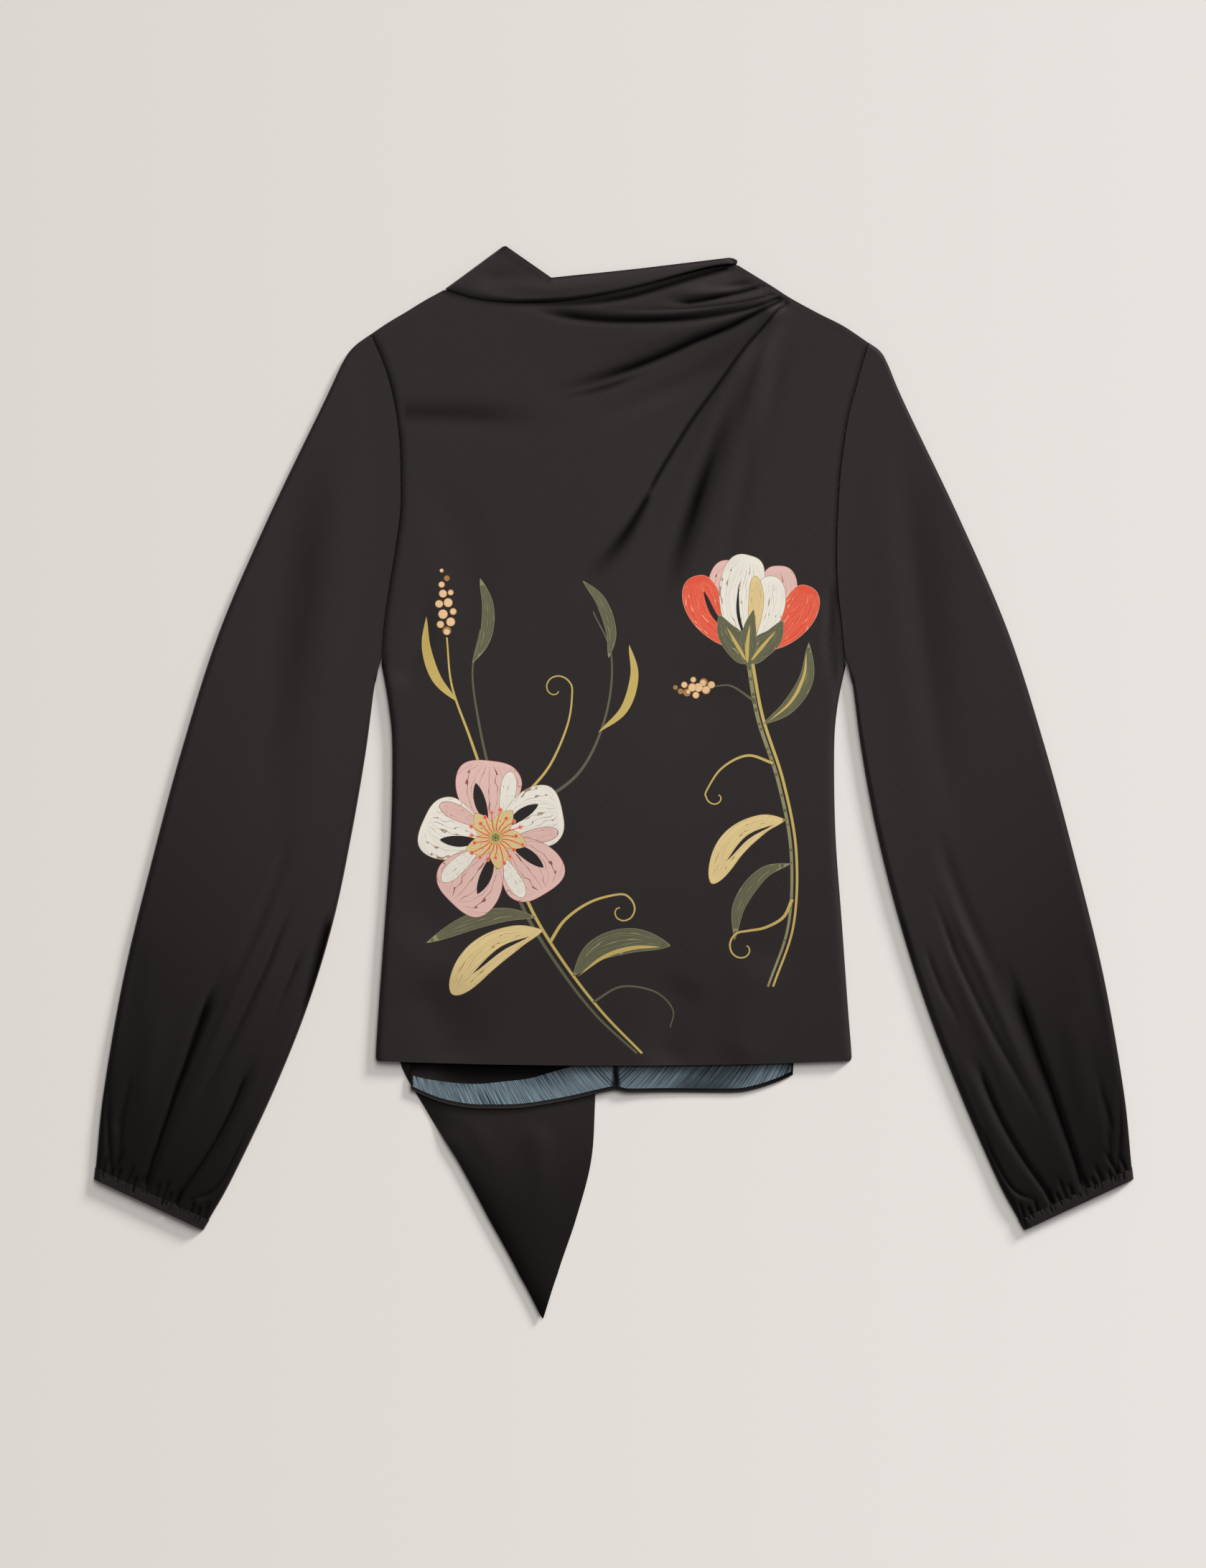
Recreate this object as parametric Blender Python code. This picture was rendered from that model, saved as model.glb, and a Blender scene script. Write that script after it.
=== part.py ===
"""Tie-neck blouse of black satin, laid flat on its back with the front up.

+X runs to the right across the front, +Y from the hem up to the neck, and +Z up from the surface that
the blouse lies on. The origin is on that surface, under the middle of the blouse. "Left" and "right"
below are as seen from above. Lengths are millimetres, and become metres when a mesh is made.

Each piece of cloth is a middle surface of rows and columns of points. cloth() gives it its thickness.
"""
from collections import namedtuple
from math import cos, exp, hypot, pi, sin, sqrt

import bmesh
import bpy
from mathutils import Vector

MM = 0.001
UP, DOWN = (0.0, 0.0, 1.0), (0.0, 0.0, -1.0)

# Cloth, and how the layers lie on each other.
CLOTH = 1.0          # one sewn layer: satin with its seam allowances and turned edges
SEAM = 0.35          # between two pieces that are sewn together
MOST_MITRE = 1.35    # of a wall's reach at a fold, over its half thickness
LAYER = CLOTH + 0.3  # from the middle of one layer to the middle of the next one on it
FLOOR = CLOTH / 2    # middle of a layer that rests on the surface
FRONT_RISE = 4.0     # of the front above the layer on the floor
LEAST_RISE = 3.4     # of the front in its deepest folds
TIE_SHOWS = 0.8      # share of the tie's height that shows through the front
EDGE_ROUND = 8.0     # how far in from a fold the cloth takes to rise to its full height
SHOULDER_TURN = 4.0  # strip of the front that turns under at the shoulder, up to the shoulder seam
BACK_TIP_SHARE = 0.1 # how far up the last run of the armhole the back reaches
NECK_PUFF = 4.0      # extra height of the drape under the neck
NECK_PUFF_X, NECK_PUFF_Y = 62.0, 372.0
NECK_PUFF_REACH_X, NECK_PUFF_REACH_Y = 80.0, 34.0

# Rows and columns of the middle surfaces.
ARM_ROWS = 26        # rows of the front between the underarm and the tip of the shoulder
HEM_ROWS = 11        # rows of the front between the hem and the underarm
NECK_COLUMNS = 18

# The outline of the body from the hem to the underarm, with the width of the front that is rolled
# round each side to the underside, where the side seam is.
Side = namedtuple("Side", "y left right left_under right_under")
SIDES = [
    Side(-218.0, -184.6, 184.6, 26.0, 44.0),
    Side(-213.0, -185.4, 185.4, 26.0, 44.0),
    Side(-174.0, -183.0, 182.4, 24.0, 41.0),
    Side(-107.0, -178.1, 177.6, 19.0, 33.0),
    Side(-40.0, -173.6, 172.8, 14.0, 24.0),
    Side(27.0, -172.5, 171.9, 9.0, 14.0),
    Side(60.0, -175.4, 174.6, 5.0, 7.0),
    Side(90.0, -180.6, 180.6, 2.0, 2.0),
]

# The armhole seams, from the underarm up to the tip of the shoulder.
Armhole = namedtuple("Armhole", "left_x left_y right_x right_y")
ARMHOLES = [
    Armhole(-180.6, 90.0, 180.6, 90.0),
    Armhole(-178.8, 120.0, 177.6, 120.0),
    Armhole(-174.6, 150.0, 174.2, 150.0),
    Armhole(-169.6, 180.0, 173.2, 178.0),
    Armhole(-165.6, 210.0, 173.8, 206.0),
    Armhole(-165.2, 238.0, 175.6, 236.0),
    Armhole(-166.0, 264.0, 178.6, 262.0),
    Armhole(-168.8, 288.0, 182.6, 286.0),
    Armhole(-174.2, 312.0, 188.4, 308.0),
    Armhole(-181.4, 332.0, 194.0, 328.0),
    Armhole(-189.3, 348.6, 198.2, 342.2),
]

# The top edge of the front: left shoulder, neck seam, right shoulder, and the neck seam of the back.
LEFT_SHOULDER = [(-189.3, 348.6), (-161.8, 366.0), (-132.7, 382.8)]
NECK_SEAM = [(-132.7, 382.8), (-108.0, 375.6), (-84.0, 372.6), (-62.0, 372.4), (-37.0, 374.0),
             (-5.0, 379.4), (27.0, 386.6), (59.0, 395.4), (80.0, 400.4), (97.0, 402.2)]
RIGHT_SHOULDER = [(97.0, 402.2), (112.0, 393.0), (124.0, 385.6), (139.0, 376.0), (179.0, 355.0),
                  (198.2, 342.2)]
BACK_NECK = [(-129.0, 380.0), (-95.0, 371.5), (-40.0, 368.0), (20.0, 370.0), (65.0, 380.0),
             (92.0, 396.5)]

# Folds of the front, from the neck outwards: height of a ridge or, below zero, depth of a valley,
# half width where it starts and ends, and the points that it runs through.
Fold = namedtuple("Fold", "height start_width end_width path")
FRONT_FOLDS = [
    Fold(-2.6, 4.0, 5.0, [(98, 401), (59, 395), (16, 384), (-30, 375)]),
    Fold(2.0, 5.0, 6.0, [(116, 390), (80, 386), (44, 380), (5, 374), (-32, 369)]),
    Fold(-2.2, 2.6, 3.0, [(119, 385), (102, 379), (59, 369.5), (0, 367.5), (-44, 370)]),
    Fold(-4.2, 3.4, 4.6, [(131, 379), (91, 366), (49, 358.7), (2, 357.8), (-37, 361.8), (-72, 371)]),
    Fold(3.0, 4.0, 9.0, [(127, 374), (91, 361.5), (59, 354), (16, 349), (-30, 347)]),
    Fold(-5.0, 4.0, 9.0, [(131, 375), (91, 356.4), (49, 335), (5.6, 317.8), (-36, 306)]),
    Fold(3.6, 4.0, 15.0, [(133, 371), (98, 343), (56, 309), (14, 276), (-20, 248)]),
    Fold(-4.0, 3.0, 8.0, [(137, 372), (110.9, 344.7), (72, 297.6), (31, 238), (5, 192), (-24, 148)]),
    Fold(2.2, 5.0, 15.0, [(136, 362), (112, 322), (84, 270), (60, 215), (36, 165)]),
    Fold(-2.6, 7.0, 14.0, [(133, 356), (114.8, 329.6), (79.5, 251.7), (53, 188), (24, 118)]),
    Fold(-1.2, 8.0, 10.0, [(104, 262), (88, 220), (76, 180)]),
    Fold(-1.2, 9.0, 11.0, [(-160, 286), (-121, 283), (-78, 279)]),
    Fold(-1.6, 26.0, 34.0, [(-168, -132), (-95, -72), (-24, -8)]),
    Fold(-1.2, 18.0, 14.0, [(60, -190), (44, -212)]),
]
FOLD_FADE = 0.16     # share of a fold's length over which it rises at each end

# The left sleeve: sections from the armhole to the cuff, and how much further out the inner edge of
# the right sleeve lies. A section runs from the outer edge to the inner edge.
Section = namedtuple("Section", "outer_x outer_y inner_x inner_y right_slack rise")
SLEEVE_SECTIONS = [
    Section(-189.3, 348.6, -182.4, 90.0, 0.0, 4.0),
    Section(-202.2, 339.1, -183.8, 84.0, 0.0, 4.0),
    Section(-211.1, 326.8, -185.4, 78.0, 0.0, 4.1),
    Section(-225.7, 296.0, -187.4, 70.0, 0.0, 4.2),
    Section(-268.8, 206.4, -193.8, 21.6, 0.0, 4.5),
    Section(-307.4, 116.8, -204.4, -40.0, 1.0, 4.8),
    Section(-336.0, 27.2, -218.4, -107.2, 4.0, 4.9),
    Section(-360.1, -62.4, -238.6, -174.4, 5.0, 4.9),
    Section(-381.9, -152.0, -265.4, -241.6, 4.0, 5.0),
    Section(-397.6, -241.6, -297.9, -310.0, 1.0, 5.0),
    Section(-403.8, -301.0, -315.8, -341.9, 0.0, 4.6),
]
SLEEVE_RINGS = 15
SEAM_REACH = 0.35    # share of the sleeve's length over which the armhole's curve straightens
UNDERARM_GAP = 3.0   # between the body and the sleeve at the underarm, where both are rolled

# Folds of a sleeve, as (share across from the outer edge, share along from the armhole).
SLEEVE_FOLDS = [
    Fold(-4.0, 5.0, 3.4, [(0.51, 0.70), (0.495, 0.80), (0.45, 0.85), (0.465, 0.89), (0.425, 1.0)]),
    Fold(-2.0, 3.6, 3.0, [(0.64, 0.80), (0.62, 0.84), (0.57, 0.95)]),
    Fold(-4.4, 5.0, 3.4, [(0.80, 0.74), (0.80, 0.85), (0.775, 0.89), (0.735, 1.0)]),
    Fold(-1.6, 6.0, 5.0, [(0.86, 0.64), (0.86, 0.75)]),
    Fold(-2.6, 3.4, 3.0, [(0.95, 0.80), (0.94, 0.92), (0.90, 1.0)]),
    Fold(-1.8, 3.6, 3.0, [(0.20, 0.84), (0.15, 0.91), (0.14, 0.98)]),
    Fold(-1.6, 3.6, 3.0, [(0.33, 0.88), (0.31, 0.98)]),
    Fold(2.2, 12.0, 9.0, [(0.30, 0.70), (0.32, 0.86), (0.30, 0.96)]),
    Fold(2.4, 10.0, 7.0, [(0.64, 0.70), (0.66, 0.86), (0.62, 0.96)]),
    Fold(1.6, 7.0, 5.0, [(0.90, 0.76), (0.87, 0.95)]),
    Fold(-1.2, 16.0, 18.0, [(0.20, 0.28), (0.525, 0.443), (0.665, 0.60)]),
    Fold(-1.0, 14.0, 12.0, [(0.82, 0.16), (0.62, 0.27)]),
]

# The cuff: a narrow elastic casing, gathered all round.
CUFF_END_OUTER, CUFF_END_INNER = (-404.9, -310.2), (-320.3, -349.7)
CUFF_WALL = 1.6
CUFF_RISE = 4.4
CUFF_TOP_GATHERS, CUFF_UNDER_GATHERS = 14, 9
POINTS_PER_GATHER = 3
GATHER_HEIGHT = 0.7
UNEVEN_GATHERS = 0.012   # of the cuff's width, how far its gathers stray from even steps
CUFF_ROUND = 7.0

# The neck band: its top edge, by column of the neck seam, with the peak that the tie's fold makes.
BandTop = namedtuple("BandTop", "column x y")
BAND_TOP = [BandTop(0, -85.1, 418.0), BandTop(4, -48.7, 392.3), BandTop(11, 20.0, 399.6),
            BandTop(NECK_COLUMNS, 91.5, 408.2)]
BAND_ROWS = 5
BAND_LIP = LAYER + 0.25   # of the band's front over its back along the neck opening
BAND_ROUND, BAND_END_ROUND = 9.0, 6.0
BACK_NECK_GAP = 0.9       # between the back of the band and the back, hidden under the front
BAND_RISE = 5.6
BAND_END_GAP = 1.4        # between the band and the front where both are folded round

# The tie hangs down behind the back: rows from the neck to its pointed end.
Tie = namedtuple("Tie", "y left right")
TIE_ROWS = [Tie(389.0, -121.0, -53.0), Tie(340.0, -128.0, -44.0), Tie(150.0, -141.0, -30.0),
            Tie(-60.0, -156.0, -18.0), Tie(-180.0, -165.0, -14.2), Tie(-216.0, -167.4, -14.2),
            Tie(-256.0, -146.4, -14.8), Tie(-297.6, -120.6, -17.9), Tie(-342.4, -96.6, -29.7),
            Tie(-385.0, -73.6, -44.0), Tie(-418.6, -55.9, -54.9)]
TIE_COLUMNS = 5
TIE_FOLDS = [
    Fold(1.6, 7.0, 14.0, [(-62, -225), (-58, -300), (-56, -370)]),
    Fold(1.2, 6.0, 9.0, [(-118, -235), (-92, -310)]),
]
TIE_REACH, TIE_FALL = 20.0, 24.0   # the back stays up this far round the tie, then falls to the floor

# The hem of the back, which shows below the front, and the facing on its inside.
BACK_HEM = [(-158.0, -240.5), (-146.7, -245.6), (-133.3, -250.6), (-113.1, -254.5), (-92.4, -255.1),
            (-72.2, -254.5), (-52.1, -251.7), (-31.4, -247.8), (-14.0, -243.7), (1.1, -240.8),
            (12.0, -242.6), (42.0, -242.4), (90.7, -242.8), (108.6, -240.5), (127.1, -234.6),
            (139.6, -229.0)]
FACING_TOP = [(-156.4, -229.6), (-146.7, -232.0), (-126.6, -234.9), (-106.4, -236.0), (-85.7, -234.1),
              (-65.5, -231.6), (-45.4, -226.0), (-27.4, -221.0), (0.0, -214.0), (139.0, -212.0)]
FACING_INSET = 5.0   # of the facing above the edge of the back
HEM_WAVE = 1.4       # how far the back's hem lifts and falls where it shows
FRONT_HEM_DIP = 3.6  # of the front's hem in its middle, below its corners


def smoothstep(low, high, value):
    share = min(max((value - low) / (high - low), 0.0), 1.0)
    return share * share * (3 - 2 * share)


def on_curve(rows, place):
    """The values at a place along rows of values, on a smooth curve through them all."""
    last = len(rows) - 1
    first = min(int(place), last - 1)
    share = place - first
    before, here = rows[max(first - 1, 0)], rows[first]
    there, after = rows[first + 1], rows[min(first + 2, last)]
    values = [
        b + share * ((c - a) / 2 + share * ((a - 2.5 * b + 2 * c - d / 2)
                                            + share * ((d - a) / 2 + 1.5 * (b - c))))
        for a, b, c, d in zip(before, here, there, after)
    ]
    return type(here)(*values) if hasattr(here, "_fields") else tuple(values)


def place_of(rows, column, value):
    """Where along the rows a column that rises or falls steadily has a value."""
    last = len(rows) - 1
    sign = 1 if rows[last][column] > rows[0][column] else -1
    for first in range(last):
        low, high = rows[first][column], rows[first + 1][column]
        if sign * value <= sign * high or first == last - 1:
            return min(max(first + (value - low) / (high - low), 0.0), float(last))


def height_on(points, x):
    """The y of an edge at x, on straight runs between its points."""
    first = min(int(place_of(points, 0, x)), len(points) - 2)
    (x0, y0), (x1, y1) = points[first], points[first + 1]
    return y0 + (y1 - y0) * (x - x0) / (x1 - x0)


def nearest(path, x, y):
    """Distance from a point to a path, and the share of the path's length at the nearest place."""
    lengths = [hypot(b[0] - a[0], b[1] - a[1]) for a, b in zip(path, path[1:])]
    best, share, done = 1e9, 0.0, 0.0
    for (x0, y0), (x1, y1), length in zip(path, path[1:], lengths):
        along = ((x - x0) * (x1 - x0) + (y - y0) * (y1 - y0)) / length ** 2
        along = min(max(along, 0.0), 1.0)
        distance = hypot(x - x0 - along * (x1 - x0), y - y0 - along * (y1 - y0))
        if distance < best:
            best, share = distance, (done + along * length) / sum(lengths)
        done += length
    return best, share


def fold_height(folds, x, y):
    """Ridges and valleys at a point: each is a soft bell across its path and fades at its ends."""
    total = 0.0
    for fold in folds:
        distance, share = nearest(fold.path, x, y)
        width = fold.start_width + (fold.end_width - fold.start_width) * share
        if distance < 3 * width:
            fade = smoothstep(-FOLD_FADE, FOLD_FADE, share) * smoothstep(1, 1 - 2 * FOLD_FADE, share)
            total += fold.height * fade * exp(-(distance / width) ** 2)
    return total


def rounded(distance, reach=EDGE_ROUND):
    """Share of its full height that cloth has at a distance in from a fold: a quarter ellipse."""
    inside = min(distance / reach, 1.0)
    return sqrt(max(1 - (1 - inside) ** 2, 0.0))


def triangles(points, face):
    """A face as triangles, split across its shorter diagonal, so that both skins are split alike."""
    corners = [index for place, index in enumerate(face) if index != face[place - 1]]
    if len(set(corners)) < 3:
        return []
    if len(corners) == 3:
        return [corners]
    a, b, c, d = corners
    spots = [Vector(points[index]) for index in corners]
    if (spots[0] - spots[2]).length <= (spots[1] - spots[3]).length:
        return [(a, b, c), (a, c, d)]
    return [(a, b, d), (b, c, d)]


def cloth(name, points, faces, wall, shade, set_normals=None):
    """A closed wall round a middle surface. It is offset both ways along the normals, and never goes
    below the floor. Normals can be set for points on seams and at the ends of folds."""
    set_normals = set_normals or {}
    surface = bmesh.new()
    verts = [surface.verts.new(point) for point in points]
    for face in faces:
        for corners in triangles(points, face):
            surface.faces.new([verts[index] for index in corners])
    surface.normal_update()
    skins = [[], []]
    for index, vert in enumerate(verts):
        reach = vert.normal * min(vert.calc_shell_factor(), MOST_MITRE)
        if index in set_normals:
            reach = Vector(set_normals[index])
        for skin, side in zip(skins, (0.5, -0.5)):
            spot = vert.co + reach * side * wall
            skin.append((spot.x, spot.y, max(spot.z, 0.0)))
    count = len(verts)
    walls = []
    surface.verts.index_update()
    for face in surface.faces:
        loop = [vert.index for vert in face.verts]
        walls.append(loop)
        walls.append([index + count for index in reversed(loop)])
        for start, end in zip(loop, loop[1:] + loop[:1]):
            edge = surface.edges.get((verts[start], verts[end]))
            if len(edge.link_faces) == 1:
                walls.append([end, start, start + count, end + count])
    surface.free()
    mesh = bpy.data.meshes.new(name)
    mesh.from_pydata([Vector(spot) * MM for spot in skins[0] + skins[1]], [], walls)
    mesh.shade_smooth()
    mesh.set_sharp_from_angle(angle=pi / 3)
    mesh.materials.append(shade)
    piece = bpy.data.objects.new(name, mesh)
    bpy.context.scene.collection.objects.link(piece)
    return piece


def grid_faces(rows):
    """Faces between rows of point numbers. A repeated number closes a face to a triangle."""
    return [(low[i], low[i + 1], high[i + 1], high[i])
            for low, high in zip(rows, rows[1:]) for i in range(len(low) - 1)]


def finish(name, colour, roughness):
    shade = bpy.data.materials.new(name)
    shade.use_nodes = True
    shader = shade.node_tree.nodes["Principled BSDF"]
    shader.inputs["Base Color"].default_value = (*colour, 1.0)
    shader.inputs["Roughness"].default_value = roughness
    shader.inputs["Metallic"].default_value = 0.0
    return shade


def tie_edge(y):
    row = on_curve(TIE_ROWS, place_of(TIE_ROWS, 0, y))
    return row.left, row.right


def lift(x, y):
    """How far a layer above the floor is held up by the tie under it."""
    left, right = tie_edge(min(max(y, TIE_ROWS[-1].y), TIE_ROWS[0].y))
    across = max(left - x, x - right, 0.0)
    above = max(y - TIE_ROWS[0].y, 0.0)
    return LAYER * (1 - smoothstep(TIE_REACH, TIE_REACH + TIE_FALL, hypot(across, above)))


def hem_wave(x, y):
    """The loose hem of the back lifts a little in uneven waves, below the front's hem only."""
    wave = 0.5 + 0.5 * sin(x / 23.0 + 0.6) * cos(x / 61.0)
    return HEM_WAVE * wave * smoothstep(-216.0, -236.0, y)


def side_at(y):
    return on_curve(SIDES, place_of(SIDES, 0, y))


def arm_share(step):
    """Place of a row between underarm and shoulder, from 0 to 1, closer together at both ends."""
    even = step / ARM_ROWS
    return 0.5 * even + 0.5 * (0.5 - 0.5 * cos(pi * even))


def armhole_at(share):
    return on_curve(ARMHOLES, share * (len(ARMHOLES) - 1))


def closed_edges():
    """The outline where the front is folded round to the underside: both sides, both shoulders."""
    left_side = [(row.left, row.y) for row in SIDES]
    right_side = [(row.right, row.y) for row in SIDES]
    return [left_side, right_side, LEFT_SHOULDER, RIGHT_SHOULDER]


CLOSED_EDGES = closed_edges()


def front_height(x, y):
    """Middle of the front above the floor."""
    puff_x, puff_y = (x - NECK_PUFF_X) / NECK_PUFF_REACH_X, (y - NECK_PUFF_Y) / NECK_PUFF_REACH_Y
    puff = NECK_PUFF * exp(-puff_x ** 2 - puff_y ** 2)
    rise = FRONT_RISE + puff + fold_height(FRONT_FOLDS, x, y) + TIE_SHOWS * lift(x, y)
    edge = min(nearest(path, x, y)[0] for path in CLOSED_EDGES)
    return FLOOR + max(rise, LEAST_RISE) * rounded(edge) + lift(x, y) * (1 - rounded(edge))


def column_shares():
    """Shares across the front of its columns: close at both edges, even along the neck seam."""
    left, right = LEFT_SHOULDER[0][0], RIGHT_SHOULDER[-1][0]
    inset = [0.0, 1.6, 5.0, 11.0]
    first = [left + step for step in inset] + [-161.8, -147.0]
    neck_start, neck_end = NECK_SEAM[0][0], NECK_SEAM[-1][0]
    neck = [neck_start + (neck_end - neck_start) * i / NECK_COLUMNS for i in range(NECK_COLUMNS + 1)]
    last = [112.0, 124.0, 139.0, 158.0, 179.0] + [right - step for step in reversed(inset)]
    xs = first + neck + last
    return [(x - left) / (right - left) for x in xs], len(first)


COLUMN_SHARES, FIRST_NECK = column_shares()
LAST_NECK = FIRST_NECK + NECK_COLUMNS
TOP_EDGE = LEFT_SHOULDER + NECK_SEAM[1:] + RIGHT_SHOULDER[1:]


def top_bump(share, top_edge):
    """How far the top edge lies above the straight line between the tips of the shoulders."""
    (x0, y0), (x1, y1) = top_edge[0], top_edge[-1]
    return height_on(top_edge, x0 + (x1 - x0) * share) - (y0 + (y1 - y0) * share)


def body_spot(row, share, top_edge):
    """A point of the front or back in plan: row counts up from the hem, and may be between rows."""
    if row <= HEM_ROWS:
        y = SIDES[0].y + (SIDES[-1].y - SIDES[0].y) * row / HEM_ROWS
        side = side_at(y)
        dip = FRONT_HEM_DIP * (1 - (2 * share - 1) ** 2) * smoothstep(1, 0, row)
        return side.left + (side.right - side.left) * share, y - dip
    climb = arm_share(row - HEM_ROWS)
    hole = armhole_at(climb)
    x = hole.left_x + (hole.right_x - hole.left_x) * share
    y = hole.left_y + (hole.right_y - hole.left_y) * share
    return x, y + top_bump(share, top_edge) * climb ** 1.6


def across_edge(ends):
    """The level direction out of an edge that runs to the right, to the left of its run."""
    (x0, y0), (x1, y1) = ends
    length = hypot(x1 - x0, y1 - y0)
    return (y0 - y1) / length, (x1 - x0) / length, 0.0


def make_front(shade):
    """One piece, with the drape at the neck, rolled round both sides and both shoulders."""
    points, rows, set_normals = [], [], {}
    for row in range(HEM_ROWS + ARM_ROWS + 1):
        numbers = []
        for share in COLUMN_SHARES:
            x, y = body_spot(row, share, TOP_EDGE)
            numbers.append(len(points))
            points.append((x, y, front_height(x, y)))
        rows.append(numbers)
        if HEM_ROWS + 2 <= row <= HEM_ROWS + ARM_ROWS - 3:
            set_normals[numbers[0]] = set_normals[numbers[-1]] = UP
    for number in rows[-1][FIRST_NECK + 1:LAST_NECK]:
        set_normals[number] = UP
    faces = grid_faces(rows)

    left_turn, right_turn = [], []
    for row in range(HEM_ROWS + 1):
        side = side_at(points[rows[row][0]][1])
        turned = []
        for number, under in ((rows[row][0], side.left_under), (rows[row][-1], -side.right_under)):
            x, y, _ = points[number]
            spot = x + under
            turned.append(len(points))
            points.append((spot, y, FLOOR + lift(spot, y)))
        left_turn.append([turned[0], rows[row][0]])
        right_turn.append([rows[row][-1], turned[1]])
    faces += grid_faces(left_turn) + grid_faces(right_turn)

    tips = (0, len(COLUMN_SHARES) - 1)
    for first, last in ((0, FIRST_NECK), (LAST_NECK, tips[1])):
        turned = []
        for column in range(first, last + 1):
            number = rows[-1][column]
            x, y, _ = points[number]
            if column in tips:
                turned.append(number)
                continue
            turned.append(len(points))
            points.append((x, y - SHOULDER_TURN, FLOOR + lift(x, y)))
        faces += grid_faces([rows[-1][first:last + 1], turned])
    set_normals[rows[-1][FIRST_NECK]] = across_edge(LEFT_SHOULDER[-2:])
    set_normals[rows[-1][LAST_NECK]] = across_edge(RIGHT_SHOULDER[:2])
    return cloth("front", points, faces, CLOTH, shade, set_normals)


def back_tips():
    """Ends of the back's armholes: on the seam's last straight run, just short of the shoulder."""
    below, tip = armhole_at(arm_share(ARM_ROWS - 2)), armhole_at(1.0)
    return Armhole(*[a + (b - a) * BACK_TIP_SHARE for a, b in zip(below, tip)])


def back_top_edge():
    """Top edge of the back: the shoulder seams, just behind the shoulders, and the back of the neck."""
    down = SHOULDER_TURN + 2 * SEAM
    left = [(x, y - down) for x, y in LEFT_SHOULDER[1:-1]]
    right = [(x, y - down) for x, y in RIGHT_SHOULDER[1:-1]]
    tips = BACK_TIPS
    return ([(tips.left_x, tips.left_y)] + left + [(-134.0, 376.6)] + BACK_NECK + [(99.0, 394.5)]
            + right + [(tips.right_x, tips.right_y)])


BACK_TIPS = back_tips()
BACK_TOP = back_top_edge()


def back_height(x, y):
    return FLOOR + lift(x, y) + hem_wave(x, y)


def back_columns():
    """Shares across the back, one for each point of its hem."""
    left, right = BACK_HEM[0][0], BACK_HEM[-1][0]
    return [(x - left) / (right - left) for x, _ in BACK_HEM]


def back_rows():
    """Rows of the back in plan, from its hem up. Its sides meet the front's turned edges."""
    shares = back_columns()
    rows = [list(BACK_HEM)]
    for row in range(HEM_ROWS + 1):
        y = SIDES[0].y + (SIDES[-1].y - SIDES[0].y) * row / HEM_ROWS
        side = side_at(y)
        left, right = side.left + side.left_under + SEAM, side.right - side.right_under - SEAM
        rows.append([(left + (right - left) * share, y) for share in shares])
    for row in range(2, ARM_ROWS + 1, 2):
        climb = arm_share(row)
        hole = armhole_at(climb) if row < ARM_ROWS else BACK_TIPS
        spots = []
        for share in shares:
            x = hole.left_x + (hole.right_x - hole.left_x) * share
            y = hole.left_y + (hole.right_y - hole.left_y) * share
            spots.append((x, y + top_bump(share, BACK_TOP) * climb ** 1.6))
        rows.append(spots)
    return rows


def make_back(shade):
    """One flat piece on the surface, raised where the tie lies under it."""
    points, rows = [], []
    for spots in back_rows():
        rows.append(range(len(points), len(points) + len(spots)))
        points += [(x, y, back_height(x, y)) for x, y in spots]
    return cloth("back", points, grid_faces(rows), CLOTH, shade)


def make_facing(shade):
    """The facing on the inside of the back's hem, made from the back's points, moved up."""
    points, rows = [], [[], [], []]
    for x, y in BACK_HEM:
        x = min(max(x, BACK_HEM[0][0] + 1.6), BACK_HEM[-1][0] - 1.2)
        low, high = y + FACING_INSET, height_on(FACING_TOP, x)
        for row, share in zip(rows, (0.0, 0.5, 1.0)):
            spot_y = low + (max(high, low + 3.0) - low) * share
            row.append(len(points))
            points.append((x, spot_y, back_height(x, spot_y) + LAYER + 0.1))
    return cloth("back_hem_facing", points, grid_faces(rows), CLOTH, shade)


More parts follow.
